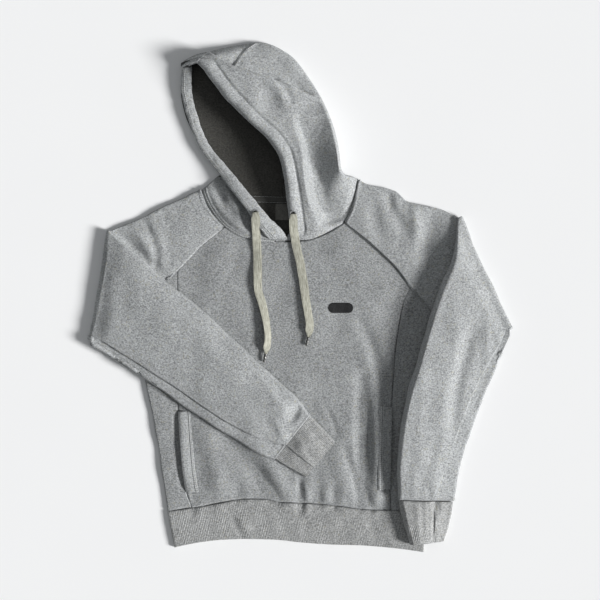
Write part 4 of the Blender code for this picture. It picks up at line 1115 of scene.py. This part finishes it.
def line_beside(points, normal, away, from_end=False, part=(0, 1)):
    """Line at a distance from a grid's first or last row, with the cloth's normals there."""
    far = edge_distance(points, 0, from_end)
    stacked = np.concatenate([points, normal], axis=2)
    if from_end:
        far, stacked = far[::-1], stacked[::-1]
    count = far.shape[1]
    picked = range(round(part[0] * (count - 1)), round(part[1] * (count - 1)) + 1)
    at_line = [[np.interp(away, far[:, j], stacked[:, j, c]) for c in range(6)] for j in picked]
    return np.hsplit(np.array(at_line), 2)


def laid_line(obj, line, step=4):
    """A line of (x, y) laid on a piece from above."""
    tree = tree_of(obj)
    count = max(2, round(lengths(line)[-1] / step))
    places, normals = [], []
    for x, y in along(line, np.linspace(0, 1, count)):
        hit, normal = seen_from_above(tree, float(x), float(y))
        if hit:
            places.append(np.array(hit) / MM)
            normals.append(np.array(normal) * (1 if normal.z > 0 else -1))
    return np.array(places), np.array(normals)


def add_stitch(shape, where, size):
    """A stitch of (length, width, height) in millimetres, placed by a matrix."""
    matrix = where @ Matrix.Diagonal((*(side * MM for side in size), 1))
    bmesh.ops.create_icosphere(shape, subdivisions=1, radius=0.5, matrix=matrix)


def on_line(at, far, values):
    return np.column_stack([np.interp(at, far, values[:, c]) for c in range(3)])


def sewing(name, lines, slot, material, pitch=3.5, stitch=(3.2, 1.7, 1.3)):
    """Rows of small stitches along lines over the cloth."""
    whole = bmesh.new()
    for places, normals in lines:
        far = lengths(places)
        at = np.arange(pitch / 2, far[-1], pitch)
        centre, facing = on_line(at, far, places), on_line(at, far, normals)
        ahead, behind = (on_line(at + shift, far, places) for shift in (0.4, -0.4))
        row = bmesh.new()
        for where, start, end, normal in zip(centre, behind, ahead, facing):
            if where[2] < 1.5 and normal[2] < 0:  # on the underside, which lies on the ground
                continue
            run, up = Vector(end - start).normalized(), Vector(normal).normalized()
            side = up.cross(run).normalized()
            turn = Matrix((run, side, run.cross(side))).transposed().to_4x4()
            place_at = Matrix.Translation(Vector(where + 0.3 * np.array(up)) * MM)
            add_stitch(row, place_at @ turn, stitch)
        mesh = mesh_of(row, "row")
        whole.from_mesh(mesh)
        bpy.data.meshes.remove(mesh)
    mesh = mesh_of(whole, name)
    mesh.shade_smooth()
    return place(name, mesh, slot, material)


def pocket_welt(side, material):
    """Folded band of a seam pocket, its open edge standing up a little."""
    seam, low, high, inward = WELTS[side]
    y = np.linspace(low, high, 60)
    edge = np.array([x_at(seam, v) for v in y]) + inward * 0.6
    rise = WELT_RISE * np.sin(math.pi * (y - low) / (high - low)) ** 0.6
    lift_at = np.concatenate([np.linspace(0, 1, 26), [1.03, 1.05]])
    rows = []
    for v, start, tall in zip(y, edge, rise):
        across = WELT_WIDTH * np.clip(lift_at, 0, 1)
        x = start + inward * across
        bulge = 1.1 * np.sin(math.pi * np.clip(across / 13, 0, 1)) ** 0.8
        stitched = -0.9 * bell(across - WELT_ROWS[0], 1.3) - 0.5 * bell(across - WELT_ROWS[1], 1.2)
        z = front_z(x, v) + 2.4 + tall * (1 - across / WELT_WIDTH) ** 1.6 + bulge + stitched
        z = z - 2.2 * smooth((across - WELT_ROWS[1] - 1) / 3)
        rows.append(np.column_stack([x, np.full(len(x), v), z]))
    points = np.array(rows)
    points = points + 0.25 * ripple(points, 30, 81 + inward)[..., None] * (0, 0, 1)
    edge_turn = []
    for angle in np.radians(np.linspace(160, 20, 8)):
        turned = points[:, 0].copy()
        turned[:, 0] -= inward * 1.3 * math.sin(angle)
        turned[:, 2] += 1.3 * (math.cos(angle) - 1)
        edge_turn.append(turned)
    under = points[:, 6:0:-2].copy()
    under[..., 2] -= 2.6
    points = np.concatenate([under, np.transpose(np.array(edge_turn), (1, 0, 2)), points], axis=1)
    normal = outward(points, flip=inward < 0)
    first = under.shape[1] + len(edge_turn)
    for away in WELT_ROWS:
        column = first + int(np.argmin(np.abs(WELT_WIDTH * lift_at[:26] - away)))
        sewn_lines.append((points[:, column], normal[:, column]))
    return cloth(f"pocket_welt_{side}_cloth", points, 1.1, "fleece", material, flip=inward < 0)


TAPE_ENDS = (46, -108)  # x
TAPE_WIDTH = 12
LABEL_WIDTH, LABEL_LENGTH = 38, 29
LABEL_TOP = (-24, 163.5)
PRINT_AT = (71, -19)
PRINT_LONG, PRINT_TALL = 44, 18


def neck_tape(material):
    """Tape sewn over the back neck seam, inside."""
    x = np.linspace(*TAPE_ENDS, 60)
    share = np.linspace(1, 0, 13)
    y = np.array([y_at(NECK_BACK, v) for v in x])
    points = np.zeros((len(x), len(share), 3))
    points[..., 0] = x[:, None]
    points[..., 1] = (y - 5)[:, None] + TAPE_WIDTH * share
    stitched = bell(share - 0.12, 0.06) + bell(share - 0.88, 0.06)
    points[..., 2] = 3.7 + 0.5 * np.sin(math.pi * share) - 0.35 * stitched
    normal = outward(points)
    facing = np.sign(normal[..., 2].mean())
    for column in (1, len(share) - 2):
        tape_lines.append((points[:, column], normal[:, column] * facing))
    return cloth("neck_tape_cloth", points, 0.7, "fleece", material, flip=facing < 0)


def neck_label(material):
    """Plain woven label, sewn in along its top under the tape."""
    share = np.linspace(-1, 1, 24)
    down = np.linspace(0, 1, 20)
    points = np.zeros((len(down), len(share), 3))
    points[..., 0] = LABEL_TOP[0] + LABEL_WIDTH / 2 * share
    points[..., 1] = LABEL_TOP[1] - LABEL_LENGTH * down[:, None]
    curl = 1.2 * down[:, None] ** 2 + 0.5 * np.sin(3.1 * share) * down[:, None]
    points[..., 2] = 3.6 + curl + 0.3 * smooth((np.abs(share) - 0.9) / 0.1)
    facing = np.sign(outward(points)[..., 2].mean())
    return cloth("neck_label_woven", points, 0.45, "label", material, flip=facing < 0)


def chest_print(material):
    """Plain black print with round ends, without any sign in it."""
    across = np.linspace(-1, 1, 60)
    up = np.linspace(-1, 1, 24)
    half_long, half_tall = PRINT_LONG / 2, PRINT_TALL / 2
    points = np.zeros((len(up), len(across), 3))
    near_end = np.clip((np.abs(across) * half_long - (half_long - half_tall)) / half_tall, 0, 1)
    tall = half_tall * np.sqrt(np.clip(1 - (near_end * 0.995) ** 2, 0, 1))
    points[..., 0] = PRINT_AT[0] + half_long * across
    points[..., 1] = PRINT_AT[1] + tall * up[:, None]
    points[..., 2] = laid_height(points[..., 0], points[..., 1]) + 0.25
    return cloth("chest_print", points, 0.2, "label", material)


def laid_height(x, y):
    """Height of the finished front at x, y."""
    tree = tree_of(bpy.data.objects["front_cloth"])
    found = [seen_from_above(tree, a, b)[0].z / MM for a, b in zip(np.ravel(x), np.ravel(y))]
    return np.array(found).reshape(np.shape(x))


EYELETS = {"right": (-78, 147), "left": (-12.3, 145)}
EYELET_STITCHES = 26
EYELET_RADIUS = 5.0  # of the ring of stitches
EYELET_HOLE = 3.8  # radius


def eyelet(side, obj, thread, dark):
    """Eyelet worked in thread; its hole is a thin near-black disc, painted shade for the hole's
    shaded hollow.
    """
    name = f"eyelet_{side}"
    x, y = EYELETS[side]
    places, normals = laid_line(obj, [(x, y), (x, y + 0.1)])
    place_at, normal = places[0], normals[0]
    turn = Vector(normal).to_track_quat("Z", "Y").to_matrix().to_4x4()
    base = Matrix.Translation(Vector(place_at + 0.3 * normal) * MM) @ turn
    ring = bmesh.new()
    for angle in 2 * math.pi * np.arange(EYELET_STITCHES) / EYELET_STITCHES:
        out = Matrix.Translation((EYELET_RADIUS * MM, 0, 0))
        spoke = Matrix.Rotation(float(angle), 4, "Z") @ out
        add_stitch(ring, base @ spoke, (3.4, 1.25, 1.9))
    mesh = mesh_of(ring, name)
    mesh.shade_smooth()
    place(name, mesh, "fleece", thread)
    # Painted shade: a thin near-black disc in the ring stands for the shaded hollow of the hole.
    hole = bmesh.new()
    radii = {"radius1": EYELET_HOLE * MM, "radius2": EYELET_HOLE * MM}
    bmesh.ops.create_cone(hole, cap_ends=True, segments=20, depth=0.5 * MM, matrix=base, **radii)
    place(name + "_hole", mesh_of(hole, name + "_hole"), "fleece", dark)


# Drawcords --------------------------------------------------------------------------------------


def cord_route(table, turned, step=2.4):
    far = lengths([row[:2] for row in table])
    points = []
    for (x, y, z), part in zip(table, far / far[-1]):
        if z is None:
            tilt = math.radians(np.interp(part, *zip(*turned)))
            z = float(front_z(x, y)) + 1.0 + LACE_THICK / 2 + 0.42 * LACE_WIDTH * math.sin(tilt)
        points.append((x, y, z))
    return along(points, np.linspace(0, 1, round(lengths(points)[-1] / step)))


def drawcord(side, table, seed, material):
    """Flat woven lace, drawn together where it leaves its eyelet and where its tip is crimped."""
    route = cord_route(table, LACE_TURN[side])
    far = lengths(route)
    left = far[-1] - far
    wide = LACE_WIDTH * (0.72 + 0.28 * smooth(far / 12)) * (0.36 + 0.64 * smooth(left / 13))
    thick = LACE_THICK * (1 + 0.5 * (1 - smooth(far / 14)) + 0.6 * (1 - smooth(left / 12)))
    heading = unit(np.gradient(route, axis=0))
    across = unit(np.cross(heading, (0, 0, 1.0)))
    turned = np.interp(far / far[-1], *zip(*LACE_TURN[side]))
    roll = np.radians(turned + 4 * ripple(route, 90, seed))
    up = np.cross(across, heading)
    across, up = (
        across * np.cos(roll)[:, None] + up * np.sin(roll)[:, None],
        up * np.cos(roll)[:, None] - across * np.sin(roll)[:, None],
    )
    x, z = soft_box(56, 0.7, 0.5)
    z = z * (1 + 0.24 * np.cos(2 * math.pi * x * LACE_RIBS))
    points = (
        route[:, None]
        + across[:, None] * (x * wide[:, None])[..., None]
        + up[:, None] * (z * thick[:, None])[..., None]
    )
    cord = cloth(f"drawcord_{side}_lace", points, 0, "lace", material, loop=True, flip=True)
    close_ends(cord)
    return cord, route, far[-1]


def crimped_tip(side, route, material):
    """Metal sleeve crimped round the lace's end."""
    along_tip = [-0.5, 0, 0.6, 3.2, 3.8, 4.6, 5.2, 9.2, 9.9, 10.7, 11.4, 14.2, 15, 15.2]
    radius = [1.0, 2.2, 2.6, 2.6, 2.1, 2.1, 2.55, 2.5, 2.0, 2.0, 2.45, 2.35, 1.8, 0.6]
    heading = unit(route[-1] - route[-3])
    across = unit(np.cross(heading, (0, 0, 1.0)))
    up = np.cross(across, heading)
    angle = np.linspace(0, 2 * math.pi, 24, endpoint=False)
    ring = across * np.cos(angle)[:, None] + up * np.sin(angle)[:, None] * 0.8
    start = route[-1] + heading * 0.3 + (0, 0, 1.2)
    points = np.array([start + heading * far + ring * wide for far, wide in zip(along_tip, radius)])
    tip = cloth(f"cord_tip_{side}_metal", points, 0, "cord_tip", material, loop=True, flip=True)
    close_ends(tip)
    return tip


# Materials --------------------------------------------------------------------------------------


def grain_scale(size):
    """Scale of noise whose grain is about the given size, (across, along) in millimetres."""
    return (1 / (size[0] * MM), 1 / (size[1] * MM), 1 / (size[0] * MM))


class Nodes:
    """Short way to add and join the nodes of one tree."""

    def __init__(self, tree):
        self.tree = tree

    def add(self, kind, settings=None, **inputs):
        node = self.tree.nodes.new("ShaderNode" + kind)
        for name, value in (settings or {}).items():
            setattr(node, name, value)
        for name, value in inputs.items():
            by_number = name[0] == "i" and name[1:].isdigit()
            self.feed(node.inputs[int(name[1:]) if by_number else name], value)
        return node

    def feed(self, socket, value):
        if isinstance(value, bpy.types.NodeSocket):
            self.tree.links.new(value, socket)
        else:
            socket.default_value = value

    def math(self, operation, first, second=0.0, clamp=False):
        settings = {"operation": operation, "use_clamp": clamp}
        return self.add("Math", settings, i0=first, i1=second).outputs[0]

    def sum(self, first, second):
        return self.math("ADD", first, second)

    def times(self, first, second):
        return self.math("MULTIPLY", first, second)

    def paint(self, shader, colour, times=None):
        """Gives the shader a colour, darkened by a value where there is one."""
        mixed = colour if times is None else self.mix(1.0, colour, times, "MULTIPLY")
        self.tree.links.new(mixed, shader.inputs["Base Color"])

    def group(self, name, **inputs):
        return self.add("Group", {"node_tree": bpy.data.node_groups[name]}, **inputs).outputs

    def scaled(self, vector, size):
        return self.add("VectorMath", {"operation": "MULTIPLY"}, i0=vector, i1=size).outputs[0]

    def noise(self, vector, size, detail=2.0, roughness=0.5):
        """Noise whose grain has a size in millimetres, or a scale that a group takes in."""
        spread = size if isinstance(size, bpy.types.NodeSocket) else grain_scale(size)
        grain = {"Scale": 1, "Detail": detail, "Roughness": roughness}
        return self.add("TexNoise", i0=self.scaled(vector, spread), **grain).outputs["Fac"]

    def ranged(self, value, low, high, to_low=0.0, to_high=1.0):
        ends = {"From Min": low, "From Max": high, "To Min": to_low, "To Max": to_high}
        return self.add("MapRange", {"clamp": True}, Value=value, **ends).outputs[0]

    def mix(self, share, first, second, blend="MIX"):
        settings = {"data_type": "RGBA", "blend_type": blend}
        return self.add("Mix", settings, i0=share, i6=first, i7=second).outputs[2]


SHADES = [("Light", "Color"), ("Dark", "Color")]


def new_group(name, inputs, outputs):
    tree = bpy.data.node_groups.new(name, "ShaderNodeTree")
    for way, sockets in (("INPUT", inputs), ("OUTPUT", outputs)):
        for socket, kind in sockets:
            tree.interface.new_socket(socket, in_out=way, socket_type="NodeSocket" + kind)
    given, out = tree.nodes.new("NodeGroupInput").outputs, tree.nodes.new("NodeGroupOutput").inputs
    return Nodes(tree), given, out


def marl_group():
    """Yarn spun of light, dark and a few warm fibres, which show as short flecks."""
    n, given, out = new_group(
        "marl_yarn",
        [("Cloth", "Vector"), *SHADES, ("Warm", "Color")],
        [("Color", "Color"), ("Fleck", "Float")],
    )
    coarse = n.noise(given["Cloth"], (3.0, 2.3), 2.5, 0.62)
    fine = n.noise(given["Cloth"], (1.3, 0.9), 1.5, 0.6)
    cloud = n.noise(given["Cloth"], (38, 60), 2)
    fleck = n.sum(n.times(coarse, 0.72), n.times(fine, 0.28))
    fleck = n.sum(fleck, n.times(n.math("SUBTRACT", cloud, 0.5), 0.10))
    share = n.ranged(fleck, 0.35, 0.65)
    colour = n.mix(share, given["Dark"], given["Light"])
    warm = n.ranged(n.noise(given["Cloth"], (3.3, 4.6), 1), 0.60, 0.76, 0, 0.6)
    n.feed(out["Color"], n.mix(warm, colour, given["Warm"]))
    n.feed(out["Fleck"], share)


def knit_group():
    """Fine columns of slanted stitches, as on a jersey face."""
    n, given, out = new_group("jersey_face", [("Cloth", "Vector")], [("Height", "Float")])
    parts = n.add("SeparateXYZ", i0=given["Cloth"]).outputs
    wide, tall = 1.25 * MM, 0.95 * MM
    column = n.math("FRACT", n.math("DIVIDE", parts[0], wide))
    leg = n.math("ABSOLUTE", n.math("SUBTRACT", column, 0.5))
    slant = n.math("FRACT", n.sum(n.math("DIVIDE", parts[1], tall), n.times(leg, 1.5)))
    loop = n.math("SINE", n.times(slant, math.pi))
    round_leg = n.math("SINE", n.times(leg, 2 * math.pi))
    n.feed(out["Height"], n.times(loop, round_leg))


def weave_group():
    """Plain weave of two close shades, worn in places and specked."""
    n, given, out = new_group(
        "plain_weave",
        [("Cloth", "Vector"), ("Turns", "Vector"), ("Specks", "Vector"), *SHADES],
        [("Color", "Color"), ("Height", "Float")],
    )
    parts = n.add("SeparateXYZ", i0=n.scaled(given["Cloth"], given["Turns"])).outputs
    grid = n.ranged(n.times(n.math("SINE", parts[0]), n.math("SINE", parts[1])), -1, 1)
    worn = n.ranged(n.noise(given["Cloth"], (6, 9), 3), 0.3, 0.7, -0.25, 0.25)
    speck = n.ranged(n.noise(given["Cloth"], given["Specks"], 2), 0.3, 0.7, -0.4, 0.4)
    share = n.math("ADD", n.sum(n.times(grid, 0.6), 0.2), n.sum(worn, speck), True)
    n.feed(out["Color"], n.mix(share, given["Dark"], given["Light"]))
    n.feed(out["Height"], n.sum(grid, speck))


def grain_group():
    """Two shades mixed by fine noise, and that noise."""
    sizes = [("Scale", "Vector"), ("Detail", "Float"), ("Roughness", "Float")]
    n, given, out = new_group(
        "fine_grain",
        [("Place", "Vector"), *sizes, ("Low", "Float"), ("High", "Float"), *SHADES],
        [("Color", "Color"), ("Grain", "Float")],
    )
    grain = n.noise(given["Place"], given["Scale"], given["Detail"], given["Roughness"])
    share = n.ranged(grain, given["Low"], given["High"])
    n.feed(out["Color"], n.mix(share, given["Dark"], given["Light"]))
    n.feed(out["Grain"], grain)


def fresh_material(name, roughness):
    material = bpy.data.materials.new(name)
    material.use_nodes = True
    nodes = Nodes(material.node_tree)
    shader = material.node_tree.nodes["Principled BSDF"]
    shader.inputs["Roughness"].default_value = roughness
    shader.inputs["Specular IOR Level"].default_value = 0.25
    cloth_uv = nodes.add("UVMap", {"uv_map": "cloth"}).outputs[0]
    return material, nodes, shader, cloth_uv


def marled(nodes, light, dark, warm):
    yarns = {"Light": (*light, 1), "Dark": (*dark, 1), "Warm": (*warm, 1)}
    where = nodes.add("TexCoord").outputs["Object"]
    marl = nodes.group("marl_yarn", Cloth=where, **yarns)
    return marl["Color"], marl["Fleck"]


def bumped(nodes, shader, height, distance, strength=1.0):
    settings = {"Height": height, "Distance": distance * MM, "Strength": strength}
    nodes.feed(shader.inputs["Normal"], nodes.add("Bump", **settings).outputs["Normal"])


def fuzzy(shader, weight, tint):
    shader.inputs["Sheen Weight"].default_value = weight
    shader.inputs["Sheen Roughness"].default_value = 0.45
    shader.inputs["Sheen Tint"].default_value = (*tint, 1)


def fleece_face(name, lift):
    """Outer face: marl jersey with a light nap; lift scales its colour. Lifted to 1.27 it is a
    lighter copy for the raised sleeves, hood and casing: painted light for the light they catch.
    """
    material, n, shader, uv = fresh_material(name, 0.92)
    light, dark, warm = (0.50, 0.513, 0.518), (0.17, 0.175, 0.177), (0.34, 0.325, 0.245)
    colour, fleck = marled(n, *(tuple(lift * c for c in yarn) for yarn in (light, dark, warm)))
    knit = n.group("jersey_face", Cloth=uv)["Height"]
    # Painted shade: the colour darkens where the jersey's stitch loops run low, between them.
    n.paint(shader, colour, n.ranged(knit, 0.0, 0.6, 0.80, 1.0))
    nap = n.noise(uv, (0.7, 1.1), 2)
    bumped(n, shader, n.sum(n.times(knit, 0.5), n.sum(nap, fleck)), 0.5, 0.8)
    fuzzy(shader, 0.22, (0.85, 0.88, 0.9))
    return material


def shaded_fleece_inside():
    """Brushed inner face: a thick, soft nap without any stitch in sight. Its colour is partly the
    inner face's own darker tone and partly painted shade for the hood's shaded interior.
    """
    material, n, shader, uv = fresh_material("shaded_fleece_inside", 0.97)
    # Partly painted shade: these shades are darker than the inner face's own, to darken the hood's
    # interior.
    colour, _ = marled(n, (0.095, 0.092, 0.083), (0.045, 0.044, 0.040), (0.075, 0.07, 0.055))
    tuft = n.noise(uv, (3.4, 3.8), 3, 0.65)
    n.paint(shader, colour, n.ranged(tuft, 0.3, 0.7, 0.78, 1.05))
    bumped(n, shader, n.sum(tuft, n.noise(uv, (0.8, 0.8), 2)), 1.2, 0.9)
    fuzzy(shader, 0.25, (0.8, 0.82, 0.84))
    return material


def rib_face():
    """Ribbed band: the same yarn, with painted shade darkening the furrows between the ribs."""
    material, n, shader, uv = fresh_material("rib_face", 0.92)
    colour, fleck = marled(n, (0.56, 0.565, 0.56), (0.19, 0.193, 0.192), (0.36, 0.34, 0.27))
    across = n.add("SeparateXYZ", i0=uv).outputs[0]
    wave = n.math("COSINE", n.times(across, 2 * math.pi / (RIB_PITCH * MM)))
    # Painted shade: the colour falls to two thirds in the furrows between the ribs.
    n.paint(shader, colour, n.ranged(wave, -1.0, 0.2, 0.66, 1.0))
    bumped(n, shader, n.sum(fleck, n.noise(uv, (0.8, 1.3), 2)), 0.4, 0.7)
    fuzzy(shader, 0.2, (0.85, 0.88, 0.9))
    return material


def woven(name, light, dark, pitch, roughness, depth, streak=(0.9, 1.6)):
    """Plain weave, its threads at a pitch of (across, along) millimetres."""
    material, n, shader, uv = fresh_material(name, roughness)
    turns = (math.pi / (pitch[0] * MM), math.pi / (pitch[1] * MM), 0)
    looks = {"Specks": grain_scale(streak), "Light": (*light, 1), "Dark": (*dark, 1)}
    weave = n.group("plain_weave", Cloth=uv, Turns=turns, **looks)
    n.paint(shader, weave["Color"])
    bumped(n, shader, weave["Height"], depth, 0.8)
    return material


def speckled(name, roughness, size, ends, dark, light, detail=2.0, rough=0.5):
    """Material of two shades mixed by fine noise, with that noise."""
    material, n, shader, _ = fresh_material(name, roughness)
    place_in = n.add("TexCoord").outputs["Object"]
    grain = {"Scale": grain_scale(size), "Detail": detail, "Roughness": rough}
    looks = {"Low": ends[0], "High": ends[1], "Light": (*light, 1), "Dark": (*dark, 1)}
    mixed = n.group("fine_grain", Place=place_in, **grain, **looks)
    n.paint(shader, mixed["Color"])
    return material, n, shader, mixed["Grain"]


def thread(name, light, dark):
    material, n, shader, twist = speckled(name, 0.75, (0.9, 1.4), (0.35, 0.65), dark, light)
    bumped(n, shader, twist, 0.2, 0.6)
    return material


def crimped_metal():
    shades = (0.10, 0.10, 0.10), (0.22, 0.22, 0.21)
    material, n, shader, rubbed = speckled("tip_metal", 0.34, (1.4, 3.0), (0.3, 0.7), *shades, 3)
    n.feed(shader.inputs["Roughness"], n.ranged(rubbed, 0.3, 0.7, 0.42, 0.28))
    shader.inputs["Metallic"].default_value = 0.85
    bumped(n, shader, rubbed, 0.1, 0.5)
    return material


def print_ink():
    look = (0.35, 0.7), (0.012, 0.012, 0.013), (0.03, 0.03, 0.031), 3, 0.7
    material, n, shader, crazed = speckled("print_ink", 0.55, (1.2, 1.6), *look)
    bumped(n, shader, crazed, 0.25, 0.6)
    return material


def paper_floor():
    return speckled("paper_floor", 0.9, (180, 180), (0, 1), (0.885,) * 3, (0.90,) * 3)[0]


# Scene ------------------------------------------------------------------------------------------

CAMERA_AT = (0, -0.00525, 3.51)
LENS = 120
FLOOR_DROP = 0.0008
WORLD_COLOR = (0.93, 0.97, 1, 1)
WORLD_LIGHT = 0.22
# Lamp, (azimuth, elevation) of its light, how soft its shadows are, in degrees, and strength
LAMPS = [("key", (-17, 26), 17, 5.25), ("fill", (110, 60), 60, 0.15)]


def camera():
    data = bpy.data.cameras.new("camera")
    data.sensor_width = 36
    data.lens = LENS
    eye = bpy.data.objects.new("camera", data)
    eye.location = CAMERA_AT
    bpy.context.scene.collection.objects.link(eye)
    bpy.context.scene.camera = eye


def studio():
    shape = bmesh.new()
    bmesh.ops.create_grid(shape, x_segments=1, y_segments=1, size=4)
    bmesh.ops.translate(shape, verts=shape.verts, vec=(0, 0, -FLOOR_DROP))
    mesh = mesh_of(shape, "floor")
    floor = bpy.data.objects.new("floor", mesh)
    mesh.materials.append(paper_floor())
    bpy.context.scene.collection.objects.link(floor)
    bpy.context.scene.view_settings.view_transform = "Standard"
    world = bpy.data.worlds.new("studio")
    bpy.context.scene.world = world
    world.use_nodes = True
    sky = world.node_tree.nodes["Background"].inputs
    sky["Color"].default_value, sky["Strength"].default_value = WORLD_COLOR, WORLD_LIGHT
    for name, (azimuth, elevation), spread, strength in LAMPS:
        light = bpy.data.lights.new(name, "SUN")
        light.angle = math.radians(spread)
        light.energy = strength
        lamp = bpy.data.objects.new(name, light)
        tilt = Matrix.Rotation(-math.radians(elevation), 3, "Y")
        toward = Matrix.Rotation(math.radians(azimuth), 3, "Z") @ tilt @ Vector((1, 0, 0))
        lamp.location = toward * 3
        lamp.rotation_euler = toward.to_track_quat("Z", "Y").to_euler()
        bpy.context.scene.collection.objects.link(lamp)


sewn_lines, sunk_lines, tape_lines = [], [], []
for make_group in (marl_group, knit_group, weave_group, grain_group):
    make_group()
camera()
studio()
lace_shades = (0.50, 0.495, 0.42), (0.22, 0.215, 0.175)
lace = woven("lace_weave", *lace_shades, (1.2, 1.6), 0.85, 0.5, (1.2, 18))
tip_metal = crimped_metal()
for side, table, seed in (("right", CORD_RIGHT, 5), ("left", CORD_LEFT, 6)):
    cord, route, long = drawcord(side, table, seed, lace)
    tip = crimped_tip(side, route, tip_metal)
    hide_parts(f"drawcord_{side}")
    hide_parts(f"cord_tip_{side}")

face, inside, rib = fleece_face("fleece_face", 1.05), shaded_fleece_inside(), rib_face()
# Painted shade: the pale label and the tape are coloured darker than their own shades, standing for
# the shade of the hood's interior.
shaded_tape_weave = woven("shaded_tape_weave", (0.085, 0.084, 0.078), (0.05, 0.05, 0.046), (1.6, 0.8), 0.85, 0.3)
label_shades = (0.19, 0.186, 0.17), (0.085, 0.083, 0.075)
shaded_label_weave = woven("shaded_label_weave", *label_shades, (0.5, 0.4), 0.6, 0.15)
# Painted light: a lighter copy of the fleece face for the raised sleeves, hood and casing.
painted_lit_face = fleece_face("fleece_face_painted_lit", 1.27)
shell, painted_lit_shell = (face, inside), (painted_lit_face, inside)
sewing_thread = thread("sewing_thread", (0.72, 0.73, 0.72), (0.44, 0.45, 0.45))
grey_thread = thread("grey_thread", (0.42, 0.43, 0.43), (0.20, 0.205, 0.21))
made = {
    "back": back_panel(shell),
    "front": front_panel(shell),
    "side_front_right": side_front("right", SIDE_RIGHT, shell),
    "side_front_left": side_front("left", SIDE_LEFT, shell),
    "hem_band": hem_band(rib),
    "sleeve_right": sleeve("right", SLEEVE_RIGHT_DOWN, SLEEVE_RIGHT_UP, painted_lit_face, True),
    "sleeve_left": sleeve("left", SLEEVE_LEFT_DOWN, SLEEVE_LEFT_UP, painted_lit_face, False),
    "cuff_right": cuff("right", CUFF_RIGHT, rib, True),
    "cuff_left": cuff("left", CUFF_LEFT, rib, False),
    "hood_left": hood_left(painted_lit_shell),
    "hood_right": hood_right(shell),
    "pocket_welt_right": pocket_welt("right", shell),
    "pocket_welt_left": pocket_welt("left", shell),
    "neck_tape": neck_tape(shaded_tape_weave),
    "neck_label": neck_label(shaded_label_weave),
}
made["hood_casing_right"] = casing_roll(painted_lit_face)
for node, piece in made.items():
    if node != "hood_casing_right":
        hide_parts(node)
    width, length, area, held, under = CUTS[node]
    flat, area = (width * MM, length * MM), area and area * MM**2
painted_hole_shade = thread("eyelet_painted_shade", (0.02, 0.02, 0.02), (0.012, 0.012, 0.012))
eyelet("right", made["hood_casing_right"], grey_thread, painted_hole_shade)
eyelet("left", made["hood_left"], grey_thread, painted_hole_shade)
for line in (CENTRE_SEAM_TOP[1:], CENTRE_SEAM_CASING):
    sewn_lines.append(laid_line(made["hood_left"], line, 2))
chest_print(print_ink())
sewing("seam_stitches", sewn_lines, "fleece", sewing_thread)
sewing("sunk_stitches", sunk_lines, "fleece", grey_thread, 3.0, (2.3, 0.8, 0.6))
sewing("tape_stitches", tape_lines, "fleece", sewing_thread, 2.4, (1.7, 0.7, 0.6))
